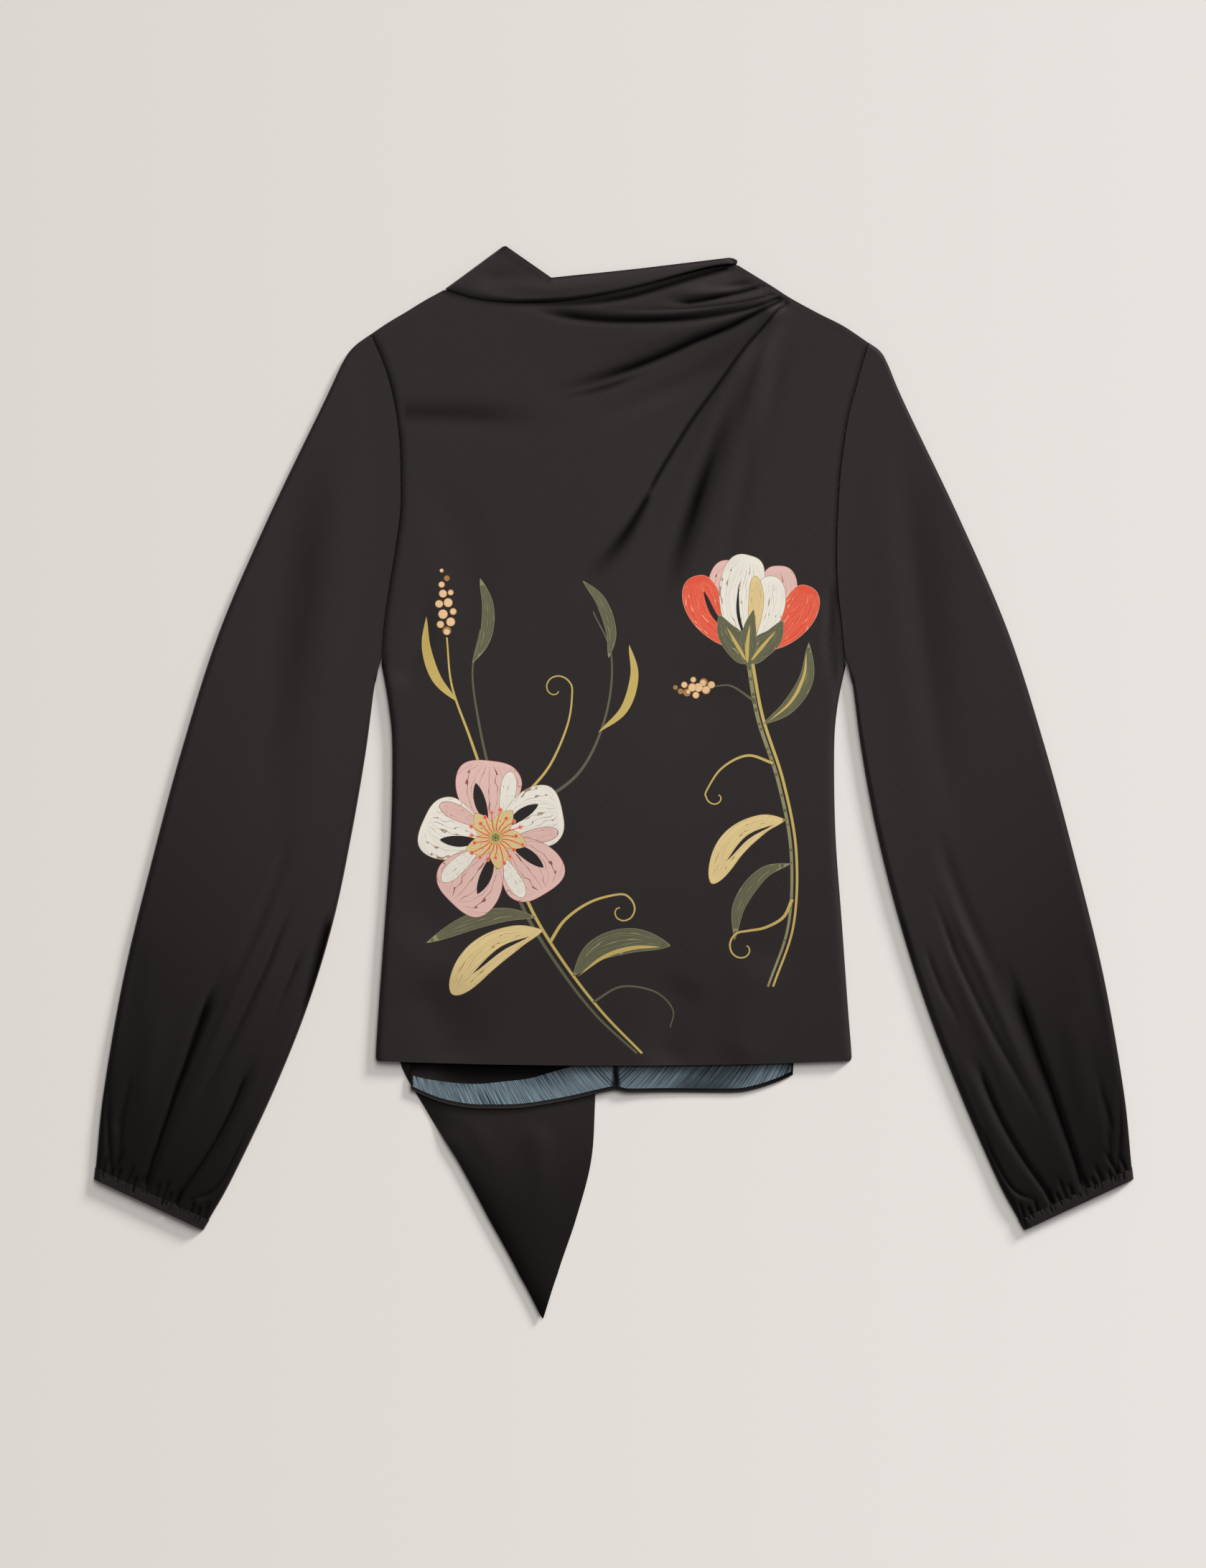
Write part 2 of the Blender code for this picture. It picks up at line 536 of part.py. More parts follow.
def make_band(shade):
    """The neck band, flattened: its front is sewn to the front, and its back to the back. The tie's
    fold makes the peak at its left. Rings of points, from the seams up to the neck opening."""
    top = [(row.x, row.y) for row in BAND_TOP]
    fold_line = [NECK_SEAM[0], top[0]]
    end_line = [(NECK_SEAM[-1][0] + 0.2, NECK_SEAM[-1][1] + SEAM), top[-1]]
    points, rings, set_normals = [], [], {}
    for row in range(BAND_ROWS + 1):
        share = row / BAND_ROWS
        ring, plan = [], []
        for column in range(NECK_COLUMNS + 1):
            seam_share = COLUMN_SHARES[FIRST_NECK + column]
            x0, y0 = body_spot(HEM_ROWS + ARM_ROWS, seam_share, TOP_EDGE)
            x1, y1 = on_band_top(column)
            y0 += SEAM + 0.1
            if column in (0, NECK_COLUMNS):
                x0, y0 = x0 + (BAND_END_GAP if column == 0 else -BAND_END_GAP), y0 + BAND_END_GAP / 2
            plan.append((x0 + (x1 - x0) * share, y0 + (y1 - y0) * share))
        for column, (x, y) in enumerate(plan):
            closed = min(nearest(fold_line, x, y)[0], nearest(end_line, x, y)[0])
            seam_height = front_height(x, min(y, height_on(TOP_EDGE, x))) - FLOOR
            full = seam_height + (BAND_RISE - seam_height) * smoothstep(0, 0.5, share)
            lip = BAND_LIP + (full - BAND_LIP) * rounded(nearest(top, x, y)[0], BAND_ROUND)
            under = lift(x, y)
            height = FLOOR + under + max(lip - under, BAND_LIP) * rounded(closed, BAND_END_ROUND)
            if column in (0, NECK_COLUMNS):
                height = FLOOR + under
            elif row == 0:
                set_normals[len(points)] = UP
            ring.append(len(points))
            points.append((x, y, height))
        for column in range(NECK_COLUMNS - 2, 0, -2):
            x, y = plan[column]
            seam_x, seam_y = x, height_on(BACK_NECK, min(max(x, BACK_NECK[0][0]), BACK_NECK[-1][0]))
            inward = (seam_y + BACK_NECK_GAP) if row == 0 else seam_y + (y - 0.6 - seam_y) * share
            ring.append(len(points))
            points.append((seam_x, inward, FLOOR + lift(seam_x, inward)))
        rings.append(ring + ring[:1])
    return cloth("neck_band", points, grid_faces(rings), CLOTH, shade, set_normals)


def on_band_top(column):
    """A point of the band's top edge, by its column of the neck seam."""
    rows = [(row.x, row.y) for row in BAND_TOP]
    place = place_of(BAND_TOP, 0, column)
    first = min(int(place), len(rows) - 2)
    share = place - first
    (x0, y0), (x1, y1) = rows[first], rows[first + 1]
    return x0 + (x1 - x0) * share, y0 + (y1 - y0) * share


def make_tie(shade):
    """The tie's long end, flat on the surface behind the back, with soft folds where it shows."""
    points, rows = [], []
    steps = 3 * (len(TIE_ROWS) - 1) // 2
    for step in range(steps + 1):
        row = on_curve(TIE_ROWS, (len(TIE_ROWS) - 1) * step / steps)
        rows.append(range(len(points), len(points) + TIE_COLUMNS + 1))
        for column in range(TIE_COLUMNS + 1):
            x = row.left + (row.right - row.left) * column / TIE_COLUMNS
            free = smoothstep(-262.0, -285.0, row.y)
            points.append((x, row.y, FLOOR + free * fold_height(TIE_FOLDS, x, row.y)))
    faces = [tuple(reversed(face)) for face in grid_faces(rows)]
    return cloth("tie_end", points, faces, CLOTH, shade)


def make_sleeve(name, side, shade):
    """A full sleeve, flattened: a ring at each section, with its underside flat on the surface.
    side is -1 for the left one and 1 for the right one, which mirrors it."""
    top_steps, under_steps = ARM_ROWS, ARM_ROWS // 2
    last_place = len(SLEEVE_SECTIONS) - 1
    folds = [fold._replace(path=[sleeve_plan(along, across, side) for across, along in fold.path])
             for fold in SLEEVE_FOLDS]
    points, rings, set_normals = [], [], {}
    for number in range(SLEEVE_RINGS + 1):
        along = ring_share(number)
        section = on_curve(SLEEVE_SECTIONS, along * last_place)
        width = hypot(section.inner_x - section.outer_x, section.inner_y - section.outer_y)
        ring = []
        for step in list(range(top_steps + 1)) + [-2 * k for k in range(1, under_steps)]:
            on_top = step >= 0
            step = step if on_top else top_steps + step
            across = step_share(step, along)
            x, y = sleeve_plan(along, across, side, seam_step=step)
            edge = min(across, 1 - across) * width
            height = section.rise * rounded(edge)
            if on_top and 0 < step < top_steps:
                height += rounded(edge) * fold_height(folds, x, y)
            if number == 0 and 3 <= step <= top_steps - 3:
                set_normals[len(points)] = UP if on_top else DOWN
            ring.append(len(points))
            points.append((x, y, FLOOR + (max(height, LAYER) if on_top and edge > 0 else 0.0)))
        rings.append(ring + ring[:1])
    faces = grid_faces(rings)
    if side < 0:
        faces = [tuple(reversed(face)) for face in faces]
    return cloth(name, points, faces, CLOTH, shade, set_normals)


def ring_share(number):
    """Rings lie closer together towards the cuff, where the folds are."""
    even = number / SLEEVE_RINGS
    return 1 - (1 - even) ** 1.25


def step_share(step, along):
    """Share across a sleeve of a step: as the armhole has it, and evenly further down."""
    even = step / ARM_ROWS
    clustered = 0.62 * even + 0.38 * (0.5 - 0.5 * cos(pi * even))
    return clustered + (1 - arm_share(ARM_ROWS - step) - clustered) * smoothstep(0.4, 0.0, along)


def sleeve_plan(along, across, side, seam_step=None):
    """A point of a sleeve in plan, from its shares along and across. At the armhole it lies on the
    seam, a seam's gap outside it."""
    section = on_curve(SLEEVE_SECTIONS, along * (len(SLEEVE_SECTIONS) - 1))
    inner_x = section.inner_x - (section.right_slack if side > 0 else 0.0)
    x = section.outer_x + (inner_x - section.outer_x) * across
    y = section.outer_y + (section.inner_y - section.outer_y) * across
    fade = max(1 - along / SEAM_REACH, 0.0) ** 1.5
    hole = armhole_at(1 - across if seam_step is None else arm_share(ARM_ROWS - seam_step))
    start = SLEEVE_SECTIONS[0]
    straight_x = start.outer_x + (start.inner_x - start.outer_x) * across
    straight_y = start.outer_y + (start.inner_y - start.outer_y) * across
    gap = SEAM + (UNDERARM_GAP - SEAM) * smoothstep(0.9, 1.0, across)
    if side < 0:
        seam_x, seam_y = hole.left_x - gap, hole.left_y
    else:
        seam_x, seam_y = -hole.right_x - gap, hole.right_y
    return side * -(x + (seam_x - straight_x) * fade), y + (seam_y - straight_y) * fade


def make_cuff(name, side, shade):
    """A short flattened ring at the wrist, with uneven gathers all round."""
    last = SLEEVE_SECTIONS[-1]
    away = Vector((CUFF_END_OUTER[0] - last.outer_x, CUFF_END_OUTER[1] - last.outer_y)).normalized()
    starts = [Vector((last.outer_x, last.outer_y)) + away * 1.1 * SEAM,
              Vector((last.inner_x, last.inner_y)) + away * 1.1 * SEAM]
    ends = [Vector(CUFF_END_OUTER), Vector(CUFF_END_INNER)]
    points, rings = [], []
    for share in (0.0, 0.5, 1.0):
        outer, inner = starts[0].lerp(ends[0], share), starts[1].lerp(ends[1], share)
        width = (inner - outer).length
        ring = []
        for gathers, on_top in ((CUFF_TOP_GATHERS, True), (CUFF_UNDER_GATHERS, False)):
            steps = gathers * POINTS_PER_GATHER
            for step in range(steps):
                across = step / steps if on_top else 1 - step / steps
                place = across + UNEVEN_GATHERS * sin(across * 19.0)
                spot = outer.lerp(inner, min(max(place, 0.0), 1.0))
                edge = min(across, 1 - across) * width
                wave = GATHER_HEIGHT * sin(2 * pi * step / POINTS_PER_GATHER) * (1 - 0.35 * share)
                rise = (CUFF_RISE + wave if on_top else max(wave, 0.0) * 0.5) * rounded(edge, CUFF_ROUND)
                ring.append(len(points))
                points.append((side * -spot.x, spot.y, CUFF_WALL / 2 + rise))
        rings.append(ring + ring[:1])
    faces = grid_faces(rings)
    if side < 0:
        faces = [tuple(reversed(face)) for face in faces]
    return cloth(name, points, faces, CUFF_WALL, shade)


def build():
    for old in list(bpy.data.objects):
        bpy.data.objects.remove(old)
    black = finish("black_satin", (0.024, 0.021, 0.021), 0.42)
    printed = finish("printed_satin", (0.026, 0.022, 0.022), 0.42)
    blue = finish("blue_facing", (0.10, 0.16, 0.21), 0.5)
    make_front(printed)
    make_back(black)
    make_facing(blue)
    make_band(black)
    make_tie(black)
    for name, side in (("left", -1), ("right", 1)):
        make_sleeve("sleeve_" + name, side, black)
        make_cuff("cuff_" + name, side, black)


build()
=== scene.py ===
"""Looks of a tie-neck blouse of black satin, laid flat on its back with the front up.

The frame is the one of the solids: +X to the right across the front, +Y from the hem up to the neck, +Z up
from the surface that the blouse lies on. "Left" and "right" are as seen from above. Sizes below are
millimetres, and become metres when a mesh is made.
"""
from collections import namedtuple

import bpy
import numpy as np
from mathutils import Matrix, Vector
from mathutils.geometry import delaunay_2d_cdt


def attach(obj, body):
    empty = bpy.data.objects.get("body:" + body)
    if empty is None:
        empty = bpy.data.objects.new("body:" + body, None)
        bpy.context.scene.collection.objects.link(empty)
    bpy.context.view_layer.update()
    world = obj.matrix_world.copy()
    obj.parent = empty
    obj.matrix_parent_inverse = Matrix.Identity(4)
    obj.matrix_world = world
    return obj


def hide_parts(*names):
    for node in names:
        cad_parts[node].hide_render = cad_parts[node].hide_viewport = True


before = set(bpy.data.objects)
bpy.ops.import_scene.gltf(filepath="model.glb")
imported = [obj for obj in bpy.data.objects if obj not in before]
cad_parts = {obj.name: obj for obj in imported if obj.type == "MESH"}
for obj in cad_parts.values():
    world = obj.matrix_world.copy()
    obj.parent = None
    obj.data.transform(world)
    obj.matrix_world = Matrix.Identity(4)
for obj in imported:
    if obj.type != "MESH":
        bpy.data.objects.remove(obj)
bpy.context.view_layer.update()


# ---- Front ---------------------------------------------------------------------------------------
# One cut piece of printed satin, sewn to everything round it. It is rolled round both sides and both
# shoulders to the underside, and its drape gathers into a bundle of pleats at the right of the neck.

MM = 0.001
CLOTH = 0.5          # wall of each shell
FLOOR = 0.5          # middle of a layer that rests on the surface
LAYER = 1.3          # from the middle of one layer to the next one on it
FRONT_RISE = 4.0     # of the front above the layer on the surface
LEAST_RISE = 2.4     # of the front in its deepest folds
EDGE_ROUND = 5.0     # how far in from a rolled edge the cloth takes to rise to its full height

Side = namedtuple("Side", "y left right left_under right_under")
SIDES = [
    Side(-218.0, -184.6, 184.6, 26.0, 44.0),
    Side(-213.0, -185.4, 185.4, 26.0, 44.0),
    Side(-174.0, -183.0, 182.4, 24.0, 41.0),
    Side(-107.0, -178.1, 177.6, 19.0, 33.0),
    Side(-40.0, -173.6, 172.8, 14.0, 24.0),
    Side(27.0, -172.5, 171.9, 9.0, 14.0),
    Side(60.0, -175.4, 174.6, 5.0, 7.0),
    Side(90.0, -180.6, 180.6, 2.0, 2.0),
]

Armhole = namedtuple("Armhole", "left_x left_y right_x right_y")
ARMHOLES = [
    Armhole(-180.6, 90.0, 180.6, 90.0),
    Armhole(-178.8, 120.0, 177.6, 120.0),
    Armhole(-174.6, 150.0, 174.2, 150.0),
    Armhole(-169.6, 180.0, 173.2, 178.0),
    Armhole(-165.6, 210.0, 173.8, 206.0),
    Armhole(-165.2, 238.0, 175.6, 236.0),
    Armhole(-166.0, 264.0, 178.6, 262.0),
    Armhole(-168.8, 288.0, 182.6, 286.0),
    Armhole(-174.2, 312.0, 188.4, 308.0),
    Armhole(-181.4, 332.0, 194.0, 328.0),
    Armhole(-189.3, 348.6, 198.2, 342.2),
]
LEFT_SHOULDER = [(-189.3, 348.6), (-176.0, 357.6), (-161.8, 366.0), (-147.6, 374.6), (-132.7, 382.8)]
NECK_SEAM = [(-132.7, 382.8), (-108.0, 375.6), (-84.0, 372.6), (-62.0, 372.4), (-37.0, 374.0),
             (-5.0, 379.4), (27.0, 386.6), (59.0, 395.4), (80.0, 400.4), (97.0, 402.2)]
RIGHT_SHOULDER = [(97.0, 402.2), (112.0, 393.0), (124.0, 385.6), (139.0, 376.0), (160.0, 364.6),
                  (179.0, 355.0), (198.2, 342.2)]
HEM_DIP = 3.6        # of the hem in its middle, below its corners
HEM_POINTS = 124
SHOULDER_TURN, TURN_AT_ENDS = 4.0, 0.3     # how far the shoulders turn under, and its share at their ends
SIDE_TURN_STEPS = 6

# Folds of the front. A ridge has a height above zero, and a valley one below it. The half widths are
# to the left and to the right of the fold's path, at its start and at its end. A deep fold also has
# painted shade inside it, as dark as its shade. The first group is narrow, and the mesh is fine near it.
Fold = namedtuple("Fold", "height left right fade shade path")
NARROW_FOLDS = [
    Fold(-1.6, (3, 3), (3.8, 3.0), (0.03, 0.3), 0.93,
         [(96, 401.6), (84, 398.4), (59, 391.4), (36, 384.2), (10, 377), (-16, 373), (-46, 370.8),
          (-80, 371), (-108, 374)]),
    Fold(-0.9, (2.4, 2.6), (2.2, 2.6), (0.2, 0.4), 0.5,
         [(113, 389.6), (97, 386.8), (78, 385.4), (60, 387.6)]),
    Fold(-1.4, (1.3, 3.0), (1.3, 2.6), (0.03, 0.12), 0.92,
         [(122, 387.6), (100, 381), (80, 376.6), (64, 373.6), (50, 372.4), (40, 374)]),
    Fold(-0.7, (1.0, 1.2), (1.2, 1.7), (0.05, 0.3), 0.72,
         [(131, 381.4), (110, 375.4), (90, 371.6), (60, 368.4), (30, 367), (0, 367.4), (-24, 370)]),
    Fold(-1.2, (2.2, 4.0), (2.2, 8.0), (0.03, 0.12), 0.92,
         [(134, 379), (125, 375), (110, 369.6), (95, 366), (80, 363), (60, 360), (30, 358.4), (0, 358.6),
          (-25, 360.6), (-48, 364.6), (-66, 369.5), (-78, 373)]),
    Fold(-1.7, (2.4, 4.5), (2.4, 6.5), (0.03, 0.2), 0.95,
         [(136, 377.6), (120, 369), (105, 361), (90, 353.4), (75, 347.4), (60, 341.4), (45, 334.6),
          (25, 326.4), (5, 319), (-15, 312.4), (-38, 306), (-64, 300)]),
    Fold(-0.6, (3, 4), (2.6, 3), (0.4, 0.3), 0.55,
         [(34, 321), (14, 314), (-6, 307), (-32, 300.4), (-60, 296)]),
    Fold(-1.6, (1.3, 1.9), (1.2, 2.0), (0.03, 0.08), 0.85,
         [(138, 374.6), (128, 367), (115, 352), (100, 335), (80, 307.4), (60, 280), (40, 248),
          (28, 226.6), (19, 208)]),
    Fold(-2.2, (1.8, 12), (1.8, 9), (0.08, 0.35), 0.85,
         [(28, 225), (14, 200), (3, 184), (-10, 168), (-24, 152), (-36, 140)]),
]
BROAD_FOLDS = [
    Fold(1.1, (3, 3.4), (3, 3.4), (0.12, 0.3), 0,
         [(128, 381), (91, 371), (49, 364.4), (2, 363), (-36, 365)]),
    Fold(2, (4, 4), (6, 5), (0.3, 0.3), 0, [(100, 384), (80, 380.6), (62, 380), (46, 380.6), (33, 380.6)]),
    Fold(3.5, (5, 12), (4, 9), (0.10, 0.5), 0, [(132, 374), (91, 360), (59, 351.5), (16, 340), (-24, 334)]),
    Fold(3.2, (6, 15), (7, 16), (0.10, 0.5), 0, [(135, 372), (100, 348), (64, 316), (30, 290), (-6, 270)]),
    Fold(-1.6, (7, 9), (6, 8), (0.3, 0.3), 0,
         [(100, 342), (72, 321), (50, 308), (25, 297), (0, 286), (-30, 278)]),
    Fold(-0.8, (9, 11), (9, 10), (0.05, 0.3), 0.38, [(-168, 287), (-121, 286), (-78, 283), (-34, 279)]),
    Fold(-3.5, (4, 9), (4, 12), (0.5, 0.25), 0.9,
         [(112, 335), (103, 318), (93, 295), (86, 278), (79, 258), (72, 238), (66, 220), (59, 198),
          (51, 174), (42, 150), (30, 128), (16, 112)]),
    Fold(3, (9, 10), (6, 9), (0.2, 0.4), 0,
         [(130, 362), (114, 318), (104, 280), (94, 240), (84, 200), (72, 160)]),
    Fold(2.7, (8, 10), (8, 12), (0.2, 0.4), 0, [(116, 350), (86, 300), (62, 250), (46, 210), (30, 172)]),
    Fold(-2, (8, 9), (8, 9), (0.3, 0.4), 0.12,
         [(118, 322), (108, 280), (99, 230), (91, 190), (84, 160), (77, 134), (62, 104)]),
    Fold(-1.2, (7, 9), (7, 9), (0.3, 0.4), 0, [(134, 350), (124, 312), (116, 266), (112, 226)]),
    Fold(-1.4, (24, 26), (24, 26), (0.4, 0.4), 0, [(96, 96), (50, 56), (0, 44)]),
    Fold(-2.2, (26, 34), (26, 34), (0.2, 0.3), 0, [(-168, -132), (-95, -72), (-24, -8)]),
    Fold(1.9, (24, 30), (24, 30), (0.2, 0.3), 0, [(-150, -180), (-60, -120), (20, -50)]),
    Fold(-1.6, (30, 20), (24, 20), (0.3, 0.1), 0, [(-150, -150), (-130, -190), (-120, -225)]),
    Fold(-1.9, (18, 14), (18, 14), (0.3, 0.1), 0, [(60, -150), (44, -190), (40, -225)]),
    Fold(1.6, (20, 14), (20, 14), (0.3, 0.1), 0, [(120, -130), (104, -180), (96, -225)]),
    Fold(-1.8, (3, 3), (3, 3), (0.2, 0.3), 0.2,
         [(170, 158), (168.6, 130), (168.6, 104), (171, 80), (173, 56)]),
    Fold(-1.6, (9, 8), (9, 8), (0.2, 0.3), 0, [(-168, 70), (-150, 110), (-146, 160)]),
    Fold(-0.9, (18, 20), (16, 20), (0.3, 0.3), 0, [(-150, 250), (-120, 190), (-110, 120), (-120, 60)]),
]
PUFF, PUFF_SPOT, PUFF_REACH = 3.0, (62.0, 368.0), (80.0, 34.0)   # the drape stands up under the neck
SEAM_DIP, SEAM_DIP_REACH, SEAM_SHADE = 0.5, 2.2, 0.55   # cloth sinks towards a seam, with painted shade along it
EDGE_SHADE, EDGE_SHADE_REACH = 0.3, 1.5    # painted shade along rolled edges
TURN_SHADE = 0.65    # painted shade where the right shoulder turns under, which dims its highlight
LOW_SHADE, LOW_SHADE_RANGE = 0.14, (60, -220)    # painted shade at the hem, fading out up to the waist
TIE_SHOWS = 0.8      # share of the tie's thickness that shows through the front

TIE_EDGES = [(389.0, -121.0, -53.0), (340.0, -128.0, -44.0), (150.0, -141.0, -30.0), (-60.0, -156.0, -18.0),
             (-180.0, -165.0, -14.2), (-216.0, -167.4, -14.2), (-256.0, -146.4, -14.8),
             (-297.6, -120.6, -17.9), (-342.4, -96.6, -29.7), (-385.0, -73.6, -44.0), (-418.6, -55.9, -54.9)]
TIE_REACH, TIE_FALL = 20.0, 24.0      # layers stay up this far round the tie, then fall to the surface
FRONT_FALL = 90.0    # the front falls more softly than the back
FOLD_SPACING = 6.0   # of the points along a fold's path
SHADE_POWER = 1.6    # a fold's painted shade is narrower than the fold
SIDE_SPACING, SEAM_SPACING, NECK_SPACING = 3.0, 2.5, 2.0    # of the points along the front's edges


def smoothstep(low, high, value):
    share = np.clip((value - low) / (high - low), 0.0, 1.0)
    return share * share * (3 - 2 * share)


def along_rows(rows, places):
    """Values at places along the rows of a table, on a smooth curve through them all."""
    rows, places = np.array(rows, float), np.atleast_1d(places)
    first = np.clip(places.astype(int), 0, len(rows) - 2)
    share = (places - first)[:, None]
    rows = np.vstack([2 * rows[0] - rows[1], rows, 2 * rows[-1] - rows[-2]])
    a, b, c, d = (rows[first + k] for k in range(4))
    bend = a - 2.5 * b + 2 * c - d / 2 + share * ((d - a) / 2 + 1.5 * (b - c))
    return b + share * ((c - a) / 2 + share * bend)


def places_at(rows, column, values):
    """Where along the rows a steadily changing column has the values."""
    heads = np.array(rows, float)[:, column]
    order = np.argsort(heads)
    return np.interp(values, heads[order], np.arange(len(heads))[order])


def evenly(path, spacing):
    """The same path with its points evenly spaced, and both its ends kept."""
    path = np.array(path, float)
    run = np.r_[0, np.cumsum(np.hypot(*np.diff(path, axis=0).T))]
    at = np.linspace(0, run[-1], max(int(round(run[-1] / spacing)), 1) + 1)
    return np.column_stack([np.interp(at, run, path[:, k]) for k in range(path.shape[1])])


def smooth_path(points, spacing):
    """Evenly spaced points on a smooth curve through the given ones."""
    return evenly(along_rows(points, np.linspace(0, len(points) - 1, 12 * len(points))), spacing)


def near_path(spots, path):
    """Each spot's distance from a path, its share of the path's length there, and +1 if it is on the
    left of the path, or -1."""
    best, share, side = np.full(len(spots), 1e9), np.zeros(len(spots)), np.ones(len(spots))
    run = np.r_[0, np.cumsum(np.hypot(*np.diff(path, axis=0).T))]
    for start, end, done in zip(path, path[1:], run):
        step, off = end - start, spots - start
        length = np.hypot(*step)
        along = np.clip(off @ step / length ** 2, 0, 1)
        gap = off - along[:, None] * step
        distance = np.hypot(gap[:, 0], gap[:, 1])
        closer = distance < best
        best[closer] = distance[closer]
        share[closer] = (done + along[closer] * length) / run[-1]
        side[closer] = np.where(step[0] * off[closer, 1] > step[1] * off[closer, 0], 1.0, -1.0)
    return best, share, side


def folded(folds, spots):
    """Heights and painted shade of soft ridges and valleys at the spots. They fade out at their ends."""
    heights, shades = np.zeros(len(spots)), np.zeros(len(spots))
    for fold in folds:
        distance, share, side = near_path(spots, smooth_path(fold.path, FOLD_SPACING))
        left = fold.left[0] + (fold.left[1] - fold.left[0]) * share
        right = fold.right[0] + (fold.right[1] - fold.right[0]) * share
        fades = smoothstep(0, fold.fade[0], share) * smoothstep(1, 1 - 2 * fold.fade[1], share)
        bell = fades * np.exp(-(distance / np.where(side > 0, left, right)) ** 2)
        heights += fold.height * bell
        shades = np.maximum(shades, fold.shade * bell ** SHADE_POWER)
    return heights, shades


def rounded(distance, reach=EDGE_ROUND):
    """Share of its full height that cloth has at a distance in from a rolled edge."""
    inside = np.clip(distance / reach, 0, 1)
    return np.sqrt(np.maximum(1 - (1 - inside) ** 2, 0))


def lift(spots, fall=TIE_FALL):
    """How far the layers above are held up by the tie under them."""
    y = np.clip(spots[:, 1], TIE_EDGES[-1][0], TIE_EDGES[0][0])
    rows = along_rows(TIE_EDGES, places_at(TIE_EDGES, 0, y))
    across = np.maximum(np.maximum(rows[:, 1] - spots[:, 0], spots[:, 0] - rows[:, 2]), 0)
    above = np.maximum(spots[:, 1] - TIE_EDGES[0][0], 0)
    return LAYER * (1 - smoothstep(TIE_REACH, TIE_REACH + fall, np.hypot(across, above)))


def table_path(rows, columns, steps):
    """A smooth path through two columns of a table."""
    return along_rows(rows, np.linspace(0, len(rows) - 1, steps))[:, columns]


def hem_line():
    """The hem from right to left, with its middle a little lower."""
    shares = np.linspace(0, 1, HEM_POINTS)
    x = SIDES[0].right + (SIDES[0].left - SIDES[0].right) * shares
    return np.column_stack([x, SIDES[0].y - HEM_DIP * (1 - (2 * shares - 1) ** 2)])


LEFT_SIDE, RIGHT_SIDE = (evenly(table_path(SIDES, [column, 0], 60), SIDE_SPACING) for column in (1, 2))
LEFT_ARMHOLE, RIGHT_ARMHOLE = (evenly(table_path(ARMHOLES, [column, column + 1], 90), SEAM_SPACING)
                               for column in (0, 2))
LEFT_TOP, RIGHT_TOP = smooth_path(LEFT_SHOULDER, SEAM_SPACING), smooth_path(RIGHT_SHOULDER, SEAM_SPACING)
NECK_LINE = smooth_path(NECK_SEAM, NECK_SPACING)
FRONT_RUNS = [LEFT_SIDE, LEFT_ARMHOLE, LEFT_TOP, NECK_LINE, RIGHT_TOP, RIGHT_ARMHOLE[::-1], RIGHT_SIDE[::-1],
              hem_line()]
ROLLED_EDGES = [LEFT_SIDE, RIGHT_SIDE, LEFT_TOP, RIGHT_TOP]


def front_form(spots):
    """Middle of the front above the surface, and its painted shade in folds, along seams and edges and
    towards the hem.
    """
    puff = PUFF * np.exp(-((spots[:, 0] - PUFF_SPOT[0]) / PUFF_REACH[0]) ** 2
                         - ((spots[:, 1] - PUFF_SPOT[1]) / PUFF_REACH[1]) ** 2)
    heights, shades = folded(NARROW_FOLDS + BROAD_FOLDS, spots)
    held = lift(spots)
    rise = FRONT_RISE + puff + heights + TIE_SHOWS * lift(spots, FRONT_FALL)
    for seam, dip in ((LEFT_ARMHOLE, SEAM_DIP), (RIGHT_ARMHOLE, SEAM_DIP), (NECK_LINE, 0.0)):
        near = np.exp(-(near_path(spots, seam)[0] / SEAM_DIP_REACH) ** 2)
        rise -= dip * near
        shades = np.maximum(shades, SEAM_SHADE * near)
    edge = np.min([near_path(spots, path)[0] for path in ROLLED_EDGES], axis=0)
    shades = np.maximum(shades, EDGE_SHADE * np.exp(-(edge / EDGE_SHADE_REACH) ** 2))
    shoulder = near_path(spots, RIGHT_TOP)[0]
    shades = np.maximum(shades, TURN_SHADE * np.exp(-(shoulder / EDGE_ROUND) ** 4))
    shades = np.maximum(shades, LOW_SHADE * smoothstep(*LOW_SHADE_RANGE, spots[:, 1]))
    return FLOOR + np.maximum(rise, LEAST_RISE) * rounded(edge) + held * (1 - rounded(edge)), shades


def inside(spots, outline):
    """Which spots lie within a closed outline."""
    result = np.zeros(len(spots), bool)
    for (x0, y0), (x1, y1) in zip(outline, np.roll(outline, -1, axis=0)):
        if y0 != y1:
            crossing = ((y0 > spots[:, 1]) != (y1 > spots[:, 1]))
            result ^= crossing & (spots[:, 0] < x0 + (x1 - x0) * (spots[:, 1] - y0) / (y1 - y0))
    return result


def vertex_normals(points, faces):
    """Normals at points, each the sum of its faces' normals by their area."""
    normals = np.zeros_like(points)
    for corners in (3, 4):
        group = np.array([face for face in faces if len(face) == corners], int)
        if len(group):
            across = points[group[:, 2]] - points[group[:, 0]]
            other = points[group[:, -1]] - points[group[:, 1]]
            first = points[group[:, 1]] - points[group[:, 0]]
            normal = np.cross(first, across) if corners == 3 else np.cross(across, other)
            for corner in range(corners):
                np.add.at(normals, group[:, corner], normal)
    return normals / np.maximum(np.linalg.norm(normals, axis=1), 1e-9)[:, None]


LEAST_GAP = 0.05     # between the cloth and the surface


def closed_line(line):
    return np.vstack([line, line[:1]])


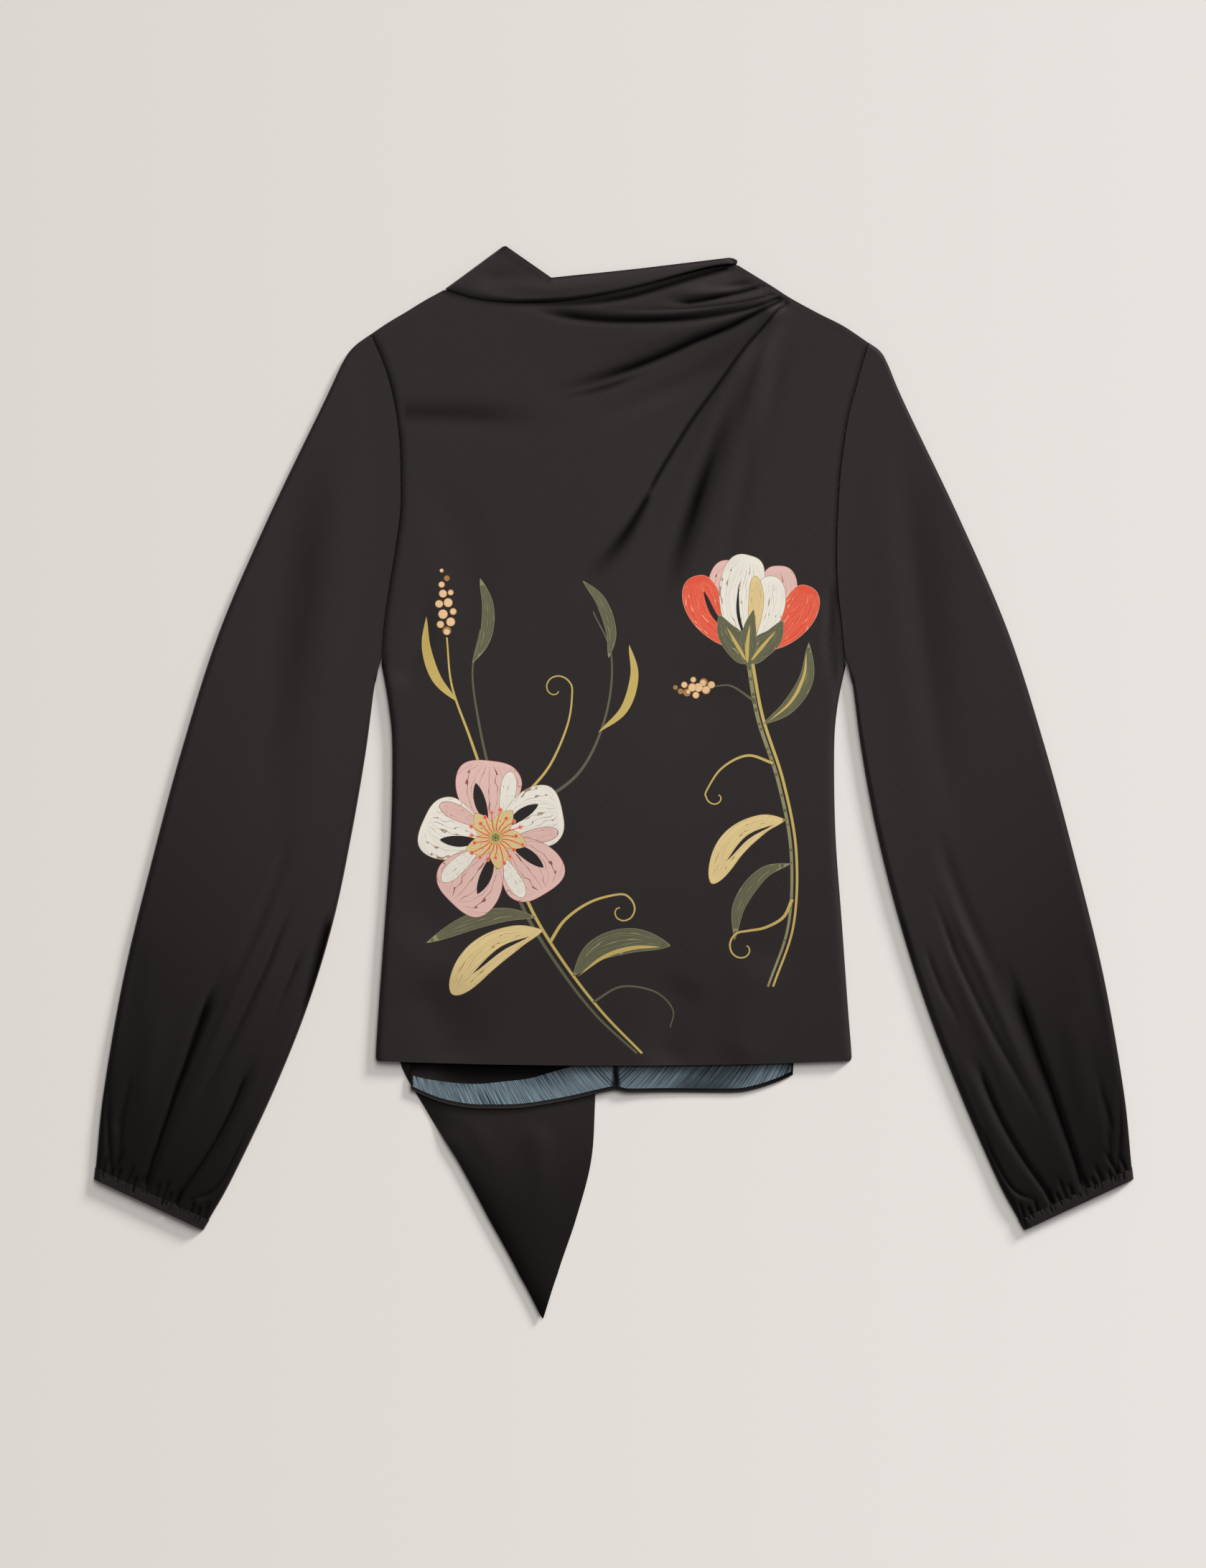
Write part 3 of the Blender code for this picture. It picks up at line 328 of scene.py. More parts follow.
def shell(name, points, faces, flat, materials, wall=CLOTH, inks=None, shades=None, places=None):
    """A thin closed wall of cloth round a middle surface, with its flat cloth coordinates as a UV map.
    The outer skin's faces come first, then the inner skin's, then the walls at its edges."""
    points = np.array(points, float)
    normals = vertex_normals(points, faces)
    outer, inner = points + normals * wall / 2, points - normals * wall / 2
    count = len(points)
    edges = dict.fromkeys(pair for face in faces for pair in zip(face, face[1:] + face[:1]))
    rims = [(end, start, start + count, end + count) for start, end in edges if (end, start) not in edges]
    skins = faces + [tuple(corner + count for corner in reversed(face)) for face in faces]
    both = np.vstack([outer, inner])
    both[:, 2] = np.maximum(both[:, 2], LEAST_GAP)
    mesh = bpy.data.meshes.new(name)
    mesh.from_pydata((both * MM).tolist(), [], skins + rims)
    mesh.shade_smooth()
    sharp = mesh.attributes.new("sharp_edge", "BOOLEAN", "EDGE")
    rim_edges = {tuple(sorted(pair)) for face in rims for pair in zip(face, face[1:] + face[:1])}
    keys = np.zeros(2 * len(mesh.edges), int)
    mesh.edges.foreach_get("vertices", keys)
    sharp.data.foreach_set("value", [tuple(sorted(key)) in rim_edges for key in keys.reshape(-1, 2).tolist()])
    corners = np.zeros(len(mesh.loops), int)
    mesh.loops.foreach_get("vertex_index", corners)
    mesh.uv_layers.new(name="cloth").data.foreach_set("uv", (np.array(flat)[corners % count] * MM).ravel())
    for material in materials:
        mesh.materials.append(material)
    if inks is not None:
        mesh.polygons.foreach_set("material_index", list(inks) + [0] * (len(mesh.polygons) - len(inks)))
    # Painted shade at each point of the outer skin, which the satin darkens its colour by
    dark = np.zeros(2 * count)
    if shades is not None:
        dark[:len(shades)] = shades
    mesh.attributes.new("painted_shade", "FLOAT", "POINT").data.foreach_set("value", dark)
    if places is not None:
        filled = np.zeros((len(mesh.loops), 3))
        filled[:len(places)] = places
        drawn = mesh.attributes.new("printed_shape", "FLOAT_VECTOR", "CORNER")
        drawn.data.foreach_set("vector", filled.ravel())
    piece = bpy.data.objects.new(name, mesh)
    bpy.context.scene.collection.objects.link(piece)
    return piece


# The satin: black, with a soft sheen and faint slubs along the bias of the cloth.
def nodes_of(name):
    """A new material with its shader, its nodes and its links."""
    material = bpy.data.materials.new(name)
    material.use_nodes = True
    tree = material.node_tree
    return material, tree.nodes["Principled BSDF"], tree.nodes, tree.links


def make_slub_group():
    """Threads of uneven thickness that run one way through the cloth. Coordinates are metres on it."""
    group = bpy.data.node_groups.new("slubbed_weave", "ShaderNodeTree")
    group.interface.new_socket("Cloth", in_out="INPUT", socket_type="NodeSocketVector")
    for name, value in (("Angle", 0.6), ("Thread", 0.0009), ("Length", 0.03)):
        group.interface.new_socket(name, in_out="INPUT", socket_type="NodeSocketFloat").default_value = value
    group.interface.new_socket("Slubs", in_out="OUTPUT", socket_type="NodeSocketFloat")
    group.interface.new_socket("Height", in_out="OUTPUT", socket_type="NodeSocketFloat")
    nodes, links = group.nodes, group.links
    given, result = nodes.new("NodeGroupInput"), nodes.new("NodeGroupOutput")
    turn = nodes.new("ShaderNodeVectorRotate")
    turn.rotation_type = "Z_AXIS"
    links.new(given.outputs["Cloth"], turn.inputs["Vector"])
    links.new(given.outputs["Angle"], turn.inputs["Angle"])
    sizes = nodes.new("ShaderNodeCombineXYZ")
    for socket, name in (("X", "Thread"), ("Y", "Length")):
        links.new(given.outputs[name], sizes.inputs[socket])
    sizes.inputs["Z"].default_value = 1.0
    threads = nodes.new("ShaderNodeVectorMath")
    threads.operation = "DIVIDE"
    links.new(turn.outputs["Vector"], threads.inputs[0])
    links.new(sizes.outputs["Vector"], threads.inputs[1])
    streaks = nodes.new("ShaderNodeTexNoise")
    streaks.inputs["Scale"].default_value = 1.0
    streaks.inputs["Detail"].default_value = 2.0
    links.new(threads.outputs["Vector"], streaks.inputs["Vector"])
    patches = nodes.new("ShaderNodeTexNoise")
    patches.inputs["Scale"].default_value = 22.0
    links.new(given.outputs["Cloth"], patches.inputs["Vector"])
    strength = nodes.new("ShaderNodeMapRange")
    strength.inputs["From Min"].default_value = 0.38
    strength.inputs["From Max"].default_value = 0.66
    links.new(patches.outputs["Fac"], strength.inputs["Value"])
    centred = nodes.new("ShaderNodeMath")
    centred.operation = "SUBTRACT"
    centred.inputs[1].default_value = 0.5
    links.new(streaks.outputs["Fac"], centred.inputs[0])
    slubs = nodes.new("ShaderNodeMath")
    slubs.operation = "MULTIPLY_ADD"
    slubs.inputs[2].default_value = 0.5
    links.new(centred.outputs["Value"], slubs.inputs[0])
    links.new(strength.outputs["Result"], slubs.inputs[1])
    links.new(slubs.outputs["Value"], result.inputs["Slubs"])
    links.new(streaks.outputs["Fac"], result.inputs["Height"])
    return group


SLUBS = make_slub_group()


def make_line_group():
    """Drawn lines inside a printed shape: veins that run along it, and a thin rim. A shape's own
    coordinates are the share along it, the share across it and the millimetres in from its outline."""
    group = bpy.data.node_groups.new("drawn_lines", "ShaderNodeTree")
    group.interface.new_socket("Shape", in_out="INPUT", socket_type="NodeSocketVector")
    for name, value in (("Veins", 5.0), ("Vein Width", 0.12), ("Rim", 0.5)):
        group.interface.new_socket(name, in_out="INPUT", socket_type="NodeSocketFloat").default_value = value
    group.interface.new_socket("Lines", in_out="OUTPUT", socket_type="NodeSocketFloat")
    nodes, links = group.nodes, group.links
    given, result = nodes.new("NodeGroupInput"), nodes.new("NodeGroupOutput")

    def calculate(operation, *values):
        node = nodes.new("ShaderNodeMath")
        node.operation = operation
        for number, value in enumerate(values):
            if isinstance(value, float):
                node.inputs[number].default_value = value
            else:
                links.new(value, node.inputs[number])
        return node.outputs["Value"]

    apart = nodes.new("ShaderNodeSeparateXYZ")
    links.new(given.outputs["Shape"], apart.inputs["Vector"])
    wobble = nodes.new("ShaderNodeTexNoise")
    wobble.noise_dimensions = "2D"
    wobble.inputs["Scale"].default_value = 2.6
    links.new(given.outputs["Shape"], wobble.inputs["Vector"])
    bent = calculate("MULTIPLY_ADD", wobble.outputs["Fac"], 0.5, apart.outputs["Y"])
    between = calculate("PINGPONG", calculate("MULTIPLY", bent, given.outputs["Veins"]), 0.5)
    vein = calculate("LESS_THAN", between, given.outputs["Vein Width"])
    middle = calculate("PINGPONG", calculate("ADD", apart.outputs["X"], 0.02), 0.5)
    vein = calculate("MULTIPLY", vein, calculate("GREATER_THAN", middle, 0.06))
    rim = calculate("LESS_THAN", apart.outputs["Z"], given.outputs["Rim"])
    links.new(calculate("MAXIMUM", vein, rim), result.inputs["Lines"])
    return group


LINES = make_line_group()


PAINTED_SHADE_COLOUR = (0.0016, 0.0012, 0.0012)    # colour of painted shade at its darkest, as deep inside a fold


def satin(name, low, high, roughness, sheen, angle=0.6, specular=0.2, drawn=None, contrast=1.0,
          thread=0.0009):
    """Satin whose colour runs from low to high over its slubs. Drawn is the colour of the lines of
    a printed shape, how many veins it has, their width and the width of its rim. With more contrast
    than 1, every thread shows. Thread is how thick they are."""
    material, shader, nodes, links = nodes_of(name)
    cloth = nodes.new("ShaderNodeUVMap")
    cloth.uv_map = "cloth"
    slubs = nodes.new("ShaderNodeGroup")
    slubs.node_tree = SLUBS
    slubs.inputs["Angle"].default_value = angle
    slubs.inputs["Thread"].default_value = thread
    links.new(cloth.outputs["UV"], slubs.inputs["Cloth"])

    def mixed(factor, first, second):
        mix = nodes.new("ShaderNodeMix")
        mix.data_type = "RGBA"
        links.new(factor, mix.inputs["Factor"])
        for socket, colour in (("A", first), ("B", second)):
            if isinstance(colour, tuple):
                mix.inputs[socket].default_value = (*colour, 1.0)
            else:
                links.new(colour, mix.inputs[socket])
        return mix.outputs["Result"]

    streaks = nodes.new("ShaderNodeMapRange")
    streaks.inputs["From Min"].default_value = 0.5 - 0.5 / contrast
    streaks.inputs["From Max"].default_value = 0.5 + 0.5 / contrast
    links.new(slubs.outputs["Slubs" if contrast == 1.0 else "Height"], streaks.inputs["Value"])
    colour = mixed(streaks.outputs["Result"], low, high)
    if drawn:
        shape = nodes.new("ShaderNodeAttribute")
        shape.attribute_name = "printed_shape"
        lines = nodes.new("ShaderNodeGroup")
        lines.node_tree = LINES
        links.new(shape.outputs["Vector"], lines.inputs["Shape"])
        for socket, value in zip(("Veins", "Vein Width", "Rim"), drawn[1:]):
            lines.inputs[socket].default_value = value
        colour = mixed(lines.outputs["Lines"], colour, drawn[0])
    # Painted shade: where the shade attribute is high, the colour goes towards near-black and Metallic takes
    # the satin's reflection away
    shade = nodes.new("ShaderNodeAttribute")
    shade.attribute_name = "painted_shade"
    links.new(mixed(shade.outputs["Fac"], colour, PAINTED_SHADE_COLOUR), shader.inputs["Base Color"])
    links.new(shade.outputs["Fac"], shader.inputs["Metallic"])
    rough = nodes.new("ShaderNodeMapRange")
    rough.inputs["To Min"].default_value = roughness - 0.1
    rough.inputs["To Max"].default_value = roughness + 0.1
    links.new(slubs.outputs["Slubs"], rough.inputs["Value"])
    links.new(rough.outputs["Result"], shader.inputs["Roughness"])
    bump = nodes.new("ShaderNodeBump")
    bump.inputs["Strength"].default_value = 0.4
    bump.inputs["Distance"].default_value = 0.0002
    links.new(slubs.outputs["Height"], bump.inputs["Height"])
    links.new(bump.outputs["Normal"], shader.inputs["Normal"])
    shader.inputs["Specular IOR Level"].default_value = specular
    shader.inputs["Specular Tint"].default_value = (1.0, 0.86, 0.85, 1.0)
    shader.inputs["Sheen Weight"].default_value = sheen
    shader.inputs["Sheen Roughness"].default_value = 0.4
    return material


BLACK = satin("black_satin", (0.0185, 0.0150, 0.0152), (0.030, 0.0245, 0.0245), 0.64, 0.02, angle=-0.6,
              specular=0.14)


# The print: an open blossom low on the left and a cup-shaped bloom on the right, each on a long
# stem with slender leaves, tendrils and sprigs of buds, in flat inks with fine drawn veins.
Ink = namedtuple("Ink", "low high drawn")
INK_COLOURS = {
    "blush": Ink((0.66, 0.42, 0.37), (0.80, 0.54, 0.48), ((0.30, 0.09, 0.08), 4.0, 0.035, 0.35)),
    "cream": Ink((0.74, 0.69, 0.59), (0.88, 0.84, 0.76), ((0.36, 0.26, 0.17), 6.0, 0.04, 0.35)),
    "coral": Ink((0.66, 0.07, 0.035), (0.82, 0.11, 0.06), ((0.80, 0.34, 0.20), 7.0, 0.05, 0.3)),
    "gold": Ink((0.46, 0.33, 0.085), (0.62, 0.47, 0.15), ((0.12, 0.09, 0.03), 0.0, 0.0, 0.0)),
    "sage": Ink((0.085, 0.088, 0.05), (0.135, 0.135, 0.08), ((0.26, 0.24, 0.12), 3.0, 0.05, 0.3)),
    "peach": Ink((0.72, 0.46, 0.23), (0.84, 0.58, 0.34), ((0.36, 0.18, 0.06), 0.0, 0.0, 0.3)),
    "straw": Ink((0.66, 0.50, 0.22), (0.80, 0.62, 0.32), ((0.34, 0.22, 0.06), 5.0, 0.045, 0.3)),
}
INK_ROUGHNESS, INK_SHEEN = 0.5, 0.02
INKS = {name: satin(f"{name}_ink", ink.low, ink.high, INK_ROUGHNESS, INK_SHEEN, drawn=ink.drawn)
        for name, ink in INK_COLOURS.items()}
PATH_STEP, PRINT_STEP, LEAST_STEPS = 0.5, 1.1, 7    # of the points along a shape's path and outline
LEAST_HALF = 0.12    # half the width of a pointed end
Motif = namedtuple("Motif", "ink outline axis halves")


def ribbon(ink, points, half_at):
    """A shape along a smooth path. half_at gives its half width at shares of the path."""
    fine = smooth_path(points, PATH_STEP)
    count = max(int(len(fine) * PATH_STEP / PRINT_STEP), LEAST_STEPS)
    shares = 0.5 - 0.5 * np.cos(np.pi * np.linspace(0, 1, count + 1))
    even, step = np.linspace(0, 1, len(fine)), np.gradient(fine, axis=0)
    axis = np.column_stack([np.interp(shares, even, fine[:, k]) for k in (0, 1)])
    along = np.column_stack([np.interp(shares, even, step[:, k]) for k in (0, 1)])
    normal = np.column_stack([-along[:, 1], along[:, 0]]) / np.hypot(*along.T)[:, None]
    halves = np.maximum(half_at(shares), LEAST_HALF)
    sides = normal * halves[:, None]
    return Motif(ink, np.vstack([axis - sides, (axis + sides)[::-1]]), axis, halves)


def blade(ink, width, start, end, points):
    """A leaf or petal. The larger start and end are, the more slender it is there."""
    widest = start / (start + end)
    most = widest ** start * (1 - widest) ** end
    return ribbon(ink, points, lambda share: width / 2 * share ** start * (1 - share) ** end / most)


def stem(ink, width, end_width, points):
    return ribbon(ink, points, lambda share: (width + (end_width - width) * share) / 2)


def dot(ink, x, y, radius):
    return ribbon(ink, [(x - radius, y), (x, y + radius / 50), (x + radius, y)],
                  lambda share: radius * np.sqrt(np.maximum(1 - (2 * share - 1) ** 2, 0)))


CURL_POINTS, CURL_INNER = 9, 0.22


def curl(x, y, radius, start, turns):
    """Points of a spiral that closes in on its centre. The angle and turns are in degrees."""
    angles = np.radians(start + np.linspace(0, turns, CURL_POINTS))
    radii = radius * np.linspace(1, CURL_INNER, CURL_POINTS)
    return [(x + r * np.cos(a), y + r * np.sin(a)) for r, a in zip(radii, angles)]


def turned(motifs, x, y, degrees, size=1.0):
    """The same shapes turned and sized about the origin, then moved."""
    a = np.radians(degrees)
    turn = size * np.array([[np.cos(a), np.sin(a)], [-np.sin(a), np.cos(a)]])
    return [motif._replace(outline=motif.outline @ turn + (x, y), axis=motif.axis @ turn + (x, y),
                           halves=motif.halves * size) for motif in motifs]


# The open blossom: a turn for each petal, with a lighter fold on it, then stamens round the middle.
BLOSSOM = (-92.0, -44.0)
PETALS = [(96, 1.0, "blush"), (24, 0.93, "cream"), (168, 0.96, "cream"), (-46, 0.97, "blush"),
          (238, 1.02, "blush")]
STAMENS, STAMEN_REACH, STAMEN_MORE = 19, 15, 7
motifs = []
for degrees, size, ink in PETALS:
    petal = [blade(ink, 52, 0.75, 0.34, [(5, 0), (22, 2), (42, 1), (60, -3)]),
             blade("black", 9, 0.9, 0.8, [(12, 5), (28, 9), (44, 11)]),
             blade("cream" if ink == "blush" else "blush", 13, 0.9, 0.5, [(12, -6), (30, -12), (50, -17)])]
    motifs += turned(petal, *BLOSSOM, degrees, size)
for degrees in range(0, 360, 72):
    motifs += turned([blade("straw", 15, 0.5, 0.8, [(3, 0), (12, 1.5), (25, 0)])], *BLOSSOM, degrees + 58)
for number in range(STAMENS):
    reach = STAMEN_REACH + STAMEN_MORE * ((number * 5) % 7) / 7
    thread = [stem("coral", 0.9, 0.7, [(4, 0), (reach / 2, 1), (reach, 0)]), dot("coral", reach + 1, 0, 1.7)]
    motifs += turned(thread, *BLOSSOM, number * 360 / STAMENS + 4)
motifs.append(dot("gold", *BLOSSOM, 5.4))
motifs.append(dot("sage", *BLOSSOM, 3.0))
for degrees in range(0, 360, 60):
    motifs += turned([dot("gold", 1.7, 0, 0.6)], *BLOSSOM, degrees)

# Its stem to the hem, leaves, tendrils and the sprig above it. Motifs are drawn from the back forwards.
under_blossom = [
    stem("sage", 3.0, 1.6, [(-86, -60), (-68, -104), (-42, -146), (-14, -182), (18, -212)]),
    stem("gold", 2.6, 1.8, [(-80, -62), (-62, -104), (-37, -144), (-9, -180), (22, -212)]),
    blade("straw", 27, 0.8, 0.55, [(-55, -116), (-78, -122), (-104, -138), (-126, -166)]),
    blade("black", 3.4, 0.9, 0.9, [(-66, -121), (-88, -131), (-110, -150)]),
    blade("sage", 20, 0.9, 0.8, [(-32, -152), (-14, -132), (14, -124), (44, -128)]),
    blade("gold", 3.2, 1.0, 0.8, [(-28, -152), (-8, -137), (14, -130), (36, -129)]),
    stem("gold", 2.6, 0.9, [(-50, -126), (-38, -108), (-18, -94)] + curl(6, -101, 13, 96, -340)),
    stem("sage", 1.8, 0.9, [(-16, -172), (6, -160), (32, -164), (46, -178), (44, -192)]),
    blade("sage", 13, 0.9, 0.9, [(-60, -106), (-84, -104), (-112, -110), (-146, -126)]),
    stem("gold", 2.4, 1.2, [(-98, -6), (-112, 34), (-126, 74), (-130, 112)]),
    stem("sage", 2.2, 1.0, [(-94, -4), (-104, 40), (-110, 84), (-104, 118)]),
    blade("sage", 10, 0.8, 0.8, [(-110, 92), (-100, 112), (-98, 136), (-104, 158)]),
    blade("gold", 8, 0.8, 0.9, [(-122, 62), (-138, 80), (-146, 104), (-146, 128)]),
    stem("gold", 2.2, 0.8, [(-70, -12), (-50, 12), (-36, 44)] + curl(-45, 72, 13, -14, 330)),
    stem("sage", 2.6, 1.0, [(-62, -20), (-26, 8), (-6, 52), (-2, 98), (-16, 132)]),
    blade("sage", 9, 0.8, 0.8, [(-4, 96), (-2, 116), (-10, 140), (-24, 156)]),
    blade("gold", 7, 0.9, 0.8, [(-12, 38), (8, 56), (16, 82), (12, 106)]),
]
BUDS = [(-130, 117, 3.4), (-135, 122, 3.0), (-127, 124, 3.6), (-133, 130, 3.8), (-125, 132, 2.8),
        (-136, 138, 3.2), (-129, 139, 3.6), (-133, 146, 3.2), (-127, 147, 2.4), (-134, 153, 2.6),
        (-130, 158, 2.2), (-134, 164, 1.7)]
motifs = under_blossom + [dot("peach", *bud) for bud in BUDS] + motifs

# The cup-shaped bloom, its stem and leaves.
bloom = [
    stem("sage", 3.2, 1.8, [(104, 98), (112, 50), (128, 0), (138, -54), (136, -112), (120, -160)]),
    stem("gold", 2.6, 1.6, [(107, 98), (116, 50), (132, 0), (142, -54), (140, -112), (124, -160)]),
    blade("sage", 12, 0.9, 0.9, [(116, 44), (136, 58), (150, 80), (152, 108)]),
    blade("gold", 2.4, 1.0, 0.8, [(120, 46), (138, 62), (148, 82), (150, 100)]),
    blade("straw", 22, 0.8, 0.6, [(134, -30), (114, -34), (92, -50), (76, -80)]),
    blade("black", 3.0, 0.9, 0.9, [(124, -34), (104, -44), (88, -62)]),
    blade("sage", 11, 0.9, 0.9, [(138, -64), (116, -72), (98, -96), (94, -124)]),
    stem("gold", 2.6, 0.9, [(139, -92), (132, -106), (118, -114)] + curl(101, -130, 14, 74, 325)),
    stem("gold", 2.2, 0.9, [(124, 14), (104, 20), (84, 10)] + curl(80, -12, 9, 150, 250)),
    blade("blush", 30, 0.8, 0.36, [(104, 104), (92, 126), (88, 150), (92, 172)]),
    blade("blush", 30, 0.8, 0.36, [(106, 104), (120, 126), (128, 148), (128, 168)]),
    blade("coral", 30, 0.85, 0.4, [(103, 102), (84, 118), (70, 138), (64, 160)]),
    blade("coral", 28, 0.85, 0.4, [(107, 102), (128, 114), (144, 132), (152, 152)]),
    blade("black", 4.2, 0.9, 0.7, [(92, 114), (78, 130), (70, 148)]),
    blade("cream", 34, 0.8, 0.34, [(104, 100), (98, 124), (99, 150), (106, 176)]),
    blade("cream", 24, 0.8, 0.4, [(106, 101), (116, 120), (122, 140), (122, 160)]),
    blade("straw", 12, 0.9, 0.5, [(105, 101), (109, 122), (111, 142), (110, 160)]),
    blade("black", 2.6, 0.9, 0.9, [(103, 108), (97, 130), (97, 152)]),
    blade("sage", 20, 0.5, 0.9, [(104, 92), (98, 104), (88, 116), (82, 130)]),
    blade("sage", 18, 0.5, 0.9, [(106, 92), (113, 103), (124, 112), (132, 126)]),
    blade("sage", 13, 0.5, 0.9, [(105, 90), (105, 106), (106, 120), (109, 134)]),
    blade("gold", 3.0, 0.6, 0.9, [(104, 92), (104, 106), (106, 122)]),
    blade("gold", 2.6, 0.6, 0.9, [(103, 94), (96, 106), (88, 120)]),
    blade("gold", 2.6, 0.6, 0.9, [(107, 94), (115, 104), (126, 117)]),
    stem("sage", 2.0, 1.0, [(110, 62), (92, 74), (78, 74)]),
]
LOWER_BUDS = [(76, 75, 3.0), (72, 71, 3.4), (70, 77, 3.2), (66, 73, 3.6), (64, 67, 2.8), (61, 73, 3.4),
              (62, 79, 2.4), (57, 69, 3.0), (55, 75, 2.6), (52, 70, 2.2), (48, 73, 1.8)]
motifs += bloom + [dot("peach", *bud) for bud in LOWER_BUDS]


# The mesh: points in plan, closer under the neck and along rolled edges, joined into triangles.
def staggered(left, right, low, high, spacing):
    """Points of a grid whose every other row is moved by half a step."""
    rows = np.arange(low, high, spacing * 0.87)
    spots = [(x + (spacing / 2 if row % 2 else 0), y)
             for row, y in enumerate(rows) for x in np.arange(left, right, spacing)]
    return np.array(spots)


def edge_rings(path, insets):
    """Rows of points beside a path, inside it on both sides."""
    step = np.gradient(path, axis=0)
    normal = np.column_stack([-step[:, 1], step[:, 0]]) / np.hypot(*step.T)[:, None]
    return np.vstack([path + normal * inset * side for inset in insets for side in (1, -1)])


GRIDS = [(1.5, -222, 7.0), (3.0, 120, 1e3), (4.5, -222, 1e3)]   # spacing, lowest y, reach round narrow folds
GRID_SIDE, GRID_TOP, GRID_APART = 202, 410, 0.8
RING_INSETS = (0.25, 0.9, 1.9, 3.3, 5.2, 7.6)
CLEAR_OF_RINGS, CLEAR_OF_EDGE, CLEAR_OF_SHAPES = 1.4, 0.2, 0.9


def front_plan(outline, drawn):
    """Points of the front in plan that aren't on its outline or on a drawn line."""
    paths = [smooth_path(fold.path, FOLD_SPACING) for fold in NARROW_FOLDS]
    spots, top, taken = [], GRID_TOP, 0.0
    for spacing, low, reach in GRIDS:
        grid = staggered(-GRID_SIDE, GRID_SIDE, low, top, spacing)
        near = np.min([near_path(grid, path)[0] for path in paths], axis=0)
        spots.append(grid[(near < reach) & (near > taken)])
        if not taken:
            taken = reach + GRID_APART
        else:
            top = low - spacing / 2
    grid = np.vstack(spots)
    edge = np.min([near_path(grid, path)[0] for path in ROLLED_EDGES], axis=0)
    rings = [edge_rings(path, RING_INSETS) for path in ROLLED_EDGES]
    spots = np.vstack([grid[edge > RING_INSETS[-1] + CLEAR_OF_RINGS], *rings])
    spots = spots[inside(spots, outline)]
    keep = near_path(spots, closed_line(outline))[0] > CLEAR_OF_EDGE
    for line in drawn:
        keep &= near_path(spots, closed_line(line))[0] > CLEAR_OF_SHAPES
    return spots[keep]


def make_front(motifs):
    """Cuts the motifs' outlines into the front's mesh. Each face then has the number of its top motif."""
    outline = np.vstack([run[:-1] for run in FRONT_RUNS])[::-1]
    drawn = [motif.outline for motif in motifs]
    spots = np.vstack([outline, *drawn, front_plan(outline, drawn)])
    loops, first = [], 0
    for line in [outline] + drawn:
        loops.append(list(range(first, first + len(line))))
        first += len(line)
    plan, _, faces, from_point, _, from_loop = delaunay_2d_cdt(spots.tolist(), [], loops, 1, 1e-3, True)
    plan = np.array([tuple(spot) for spot in plan])
    heights, shades = front_form(plan)
    points = np.column_stack([plan, heights])
    kept = [number for number, loop in enumerate(from_loop) if 0 in loop]
    faces = [tuple(faces[number]) for number in kept]
    tops = [max(from_loop[number]) for number in kept]
    where = {given: number for number, givens in enumerate(from_point) for given in givens}
    edge = [where[number] for number in range(len(outline))]
    return points, faces, tops, edge, shades


def strip_under(points, faces, flat, numbers, depths, steps):
    """Turns a strip of the front under, along the points of a rolled edge. depths are vectors."""
    shares = np.linspace(0, 1, steps + 1)[1:]
    rows = [list(numbers)]
    for share in shares:
        spots = points[numbers][:, :2] + depths * share
        heights = FLOOR + lift(spots)
        rows.append(list(range(len(points), len(points) + len(spots))))
        points = np.vstack([points, np.column_stack([spots, heights])])
        flat = np.vstack([flat, points[numbers][:, :2] - depths * share])
    for low, high in zip(rows, rows[1:]):
        for i in range(len(low) - 1):
            faces.append((low[i], low[i + 1], high[i + 1], high[i]))
    return points, faces, flat


PLAIN_BELOW = 1.6    # stems and tendrils thinner than this, at half their width, have no drawn lines
NO_RIM = 9           # far enough from the outline for no rim


def shape_places(points, faces, tops, motifs):
    """For each corner of the faces, its place in its motif: along, across and in from the outline."""
    corners, owners = np.array(faces).ravel(), np.repeat(tops, 3)
    places = np.zeros((len(corners), 3))
    for number, motif in enumerate(motifs, 1):
        mine = np.flatnonzero(owners == number)
        if len(mine):
            spots, back = np.unique(corners[mine], return_inverse=True)
            spots = points[spots, :2]
            distance, share, side = near_path(spots, motif.axis)
            half = np.interp(share, np.linspace(0, 1, len(motif.axis)), motif.halves)
            rim = near_path(spots, closed_line(motif.outline))[0]
            if max(motif.halves) < PLAIN_BELOW:
                share, side, rim = 0 * share, 0 * side, rim + NO_RIM
            places[mine] = np.column_stack([share, side * distance / half, rim])[back]
    return places


points, faces, tops, edge, shades = make_front(motifs)
places = shape_places(points, faces, tops, motifs)
ink_names = ["black"] + list(INKS)
inks = [0 if top == 0 else ink_names.index(motifs[top - 1].ink) for top in tops]
flat = points[:, :2].copy()
starts = np.cumsum([0] + [len(run) - 1 for run in FRONT_RUNS])
left_side, left_top, right_top, right_side = (edge[::-1][starts[run]:starts[run + 1] + 1]
                                              for run in (0, 2, 4, 6))
for numbers, column, way in ((left_side, 3, 1), (right_side, 4, -1)):
    depths = way * along_rows(SIDES, places_at(SIDES, 0, points[numbers][:, 1]))[:, column]
    turn = np.column_stack([depths, 0 * depths])
    points, faces, flat = strip_under(points, faces, flat, numbers, turn, SIDE_TURN_STEPS)
for numbers in (left_top, right_top):
    turn = np.column_stack([np.zeros(len(numbers)), np.full(len(numbers), -SHOULDER_TURN)])
    turn[[0, -1]] *= TURN_AT_ENDS
    points, faces, flat = strip_under(points, faces, flat, numbers, turn, 1)
front = shell("front_cloth", points, faces, flat, [BLACK, *INKS.values()], inks=inks, shades=shades,
              places=places)
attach(front, "root")
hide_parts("front")


# ---- Back ----------------------------------------------------------------------------------------
# One plain piece of the same satin, flat on the surface. It is sewn to the front's turned edges, and
# its hem hangs lower than the front's, with a soft crease near its middle.

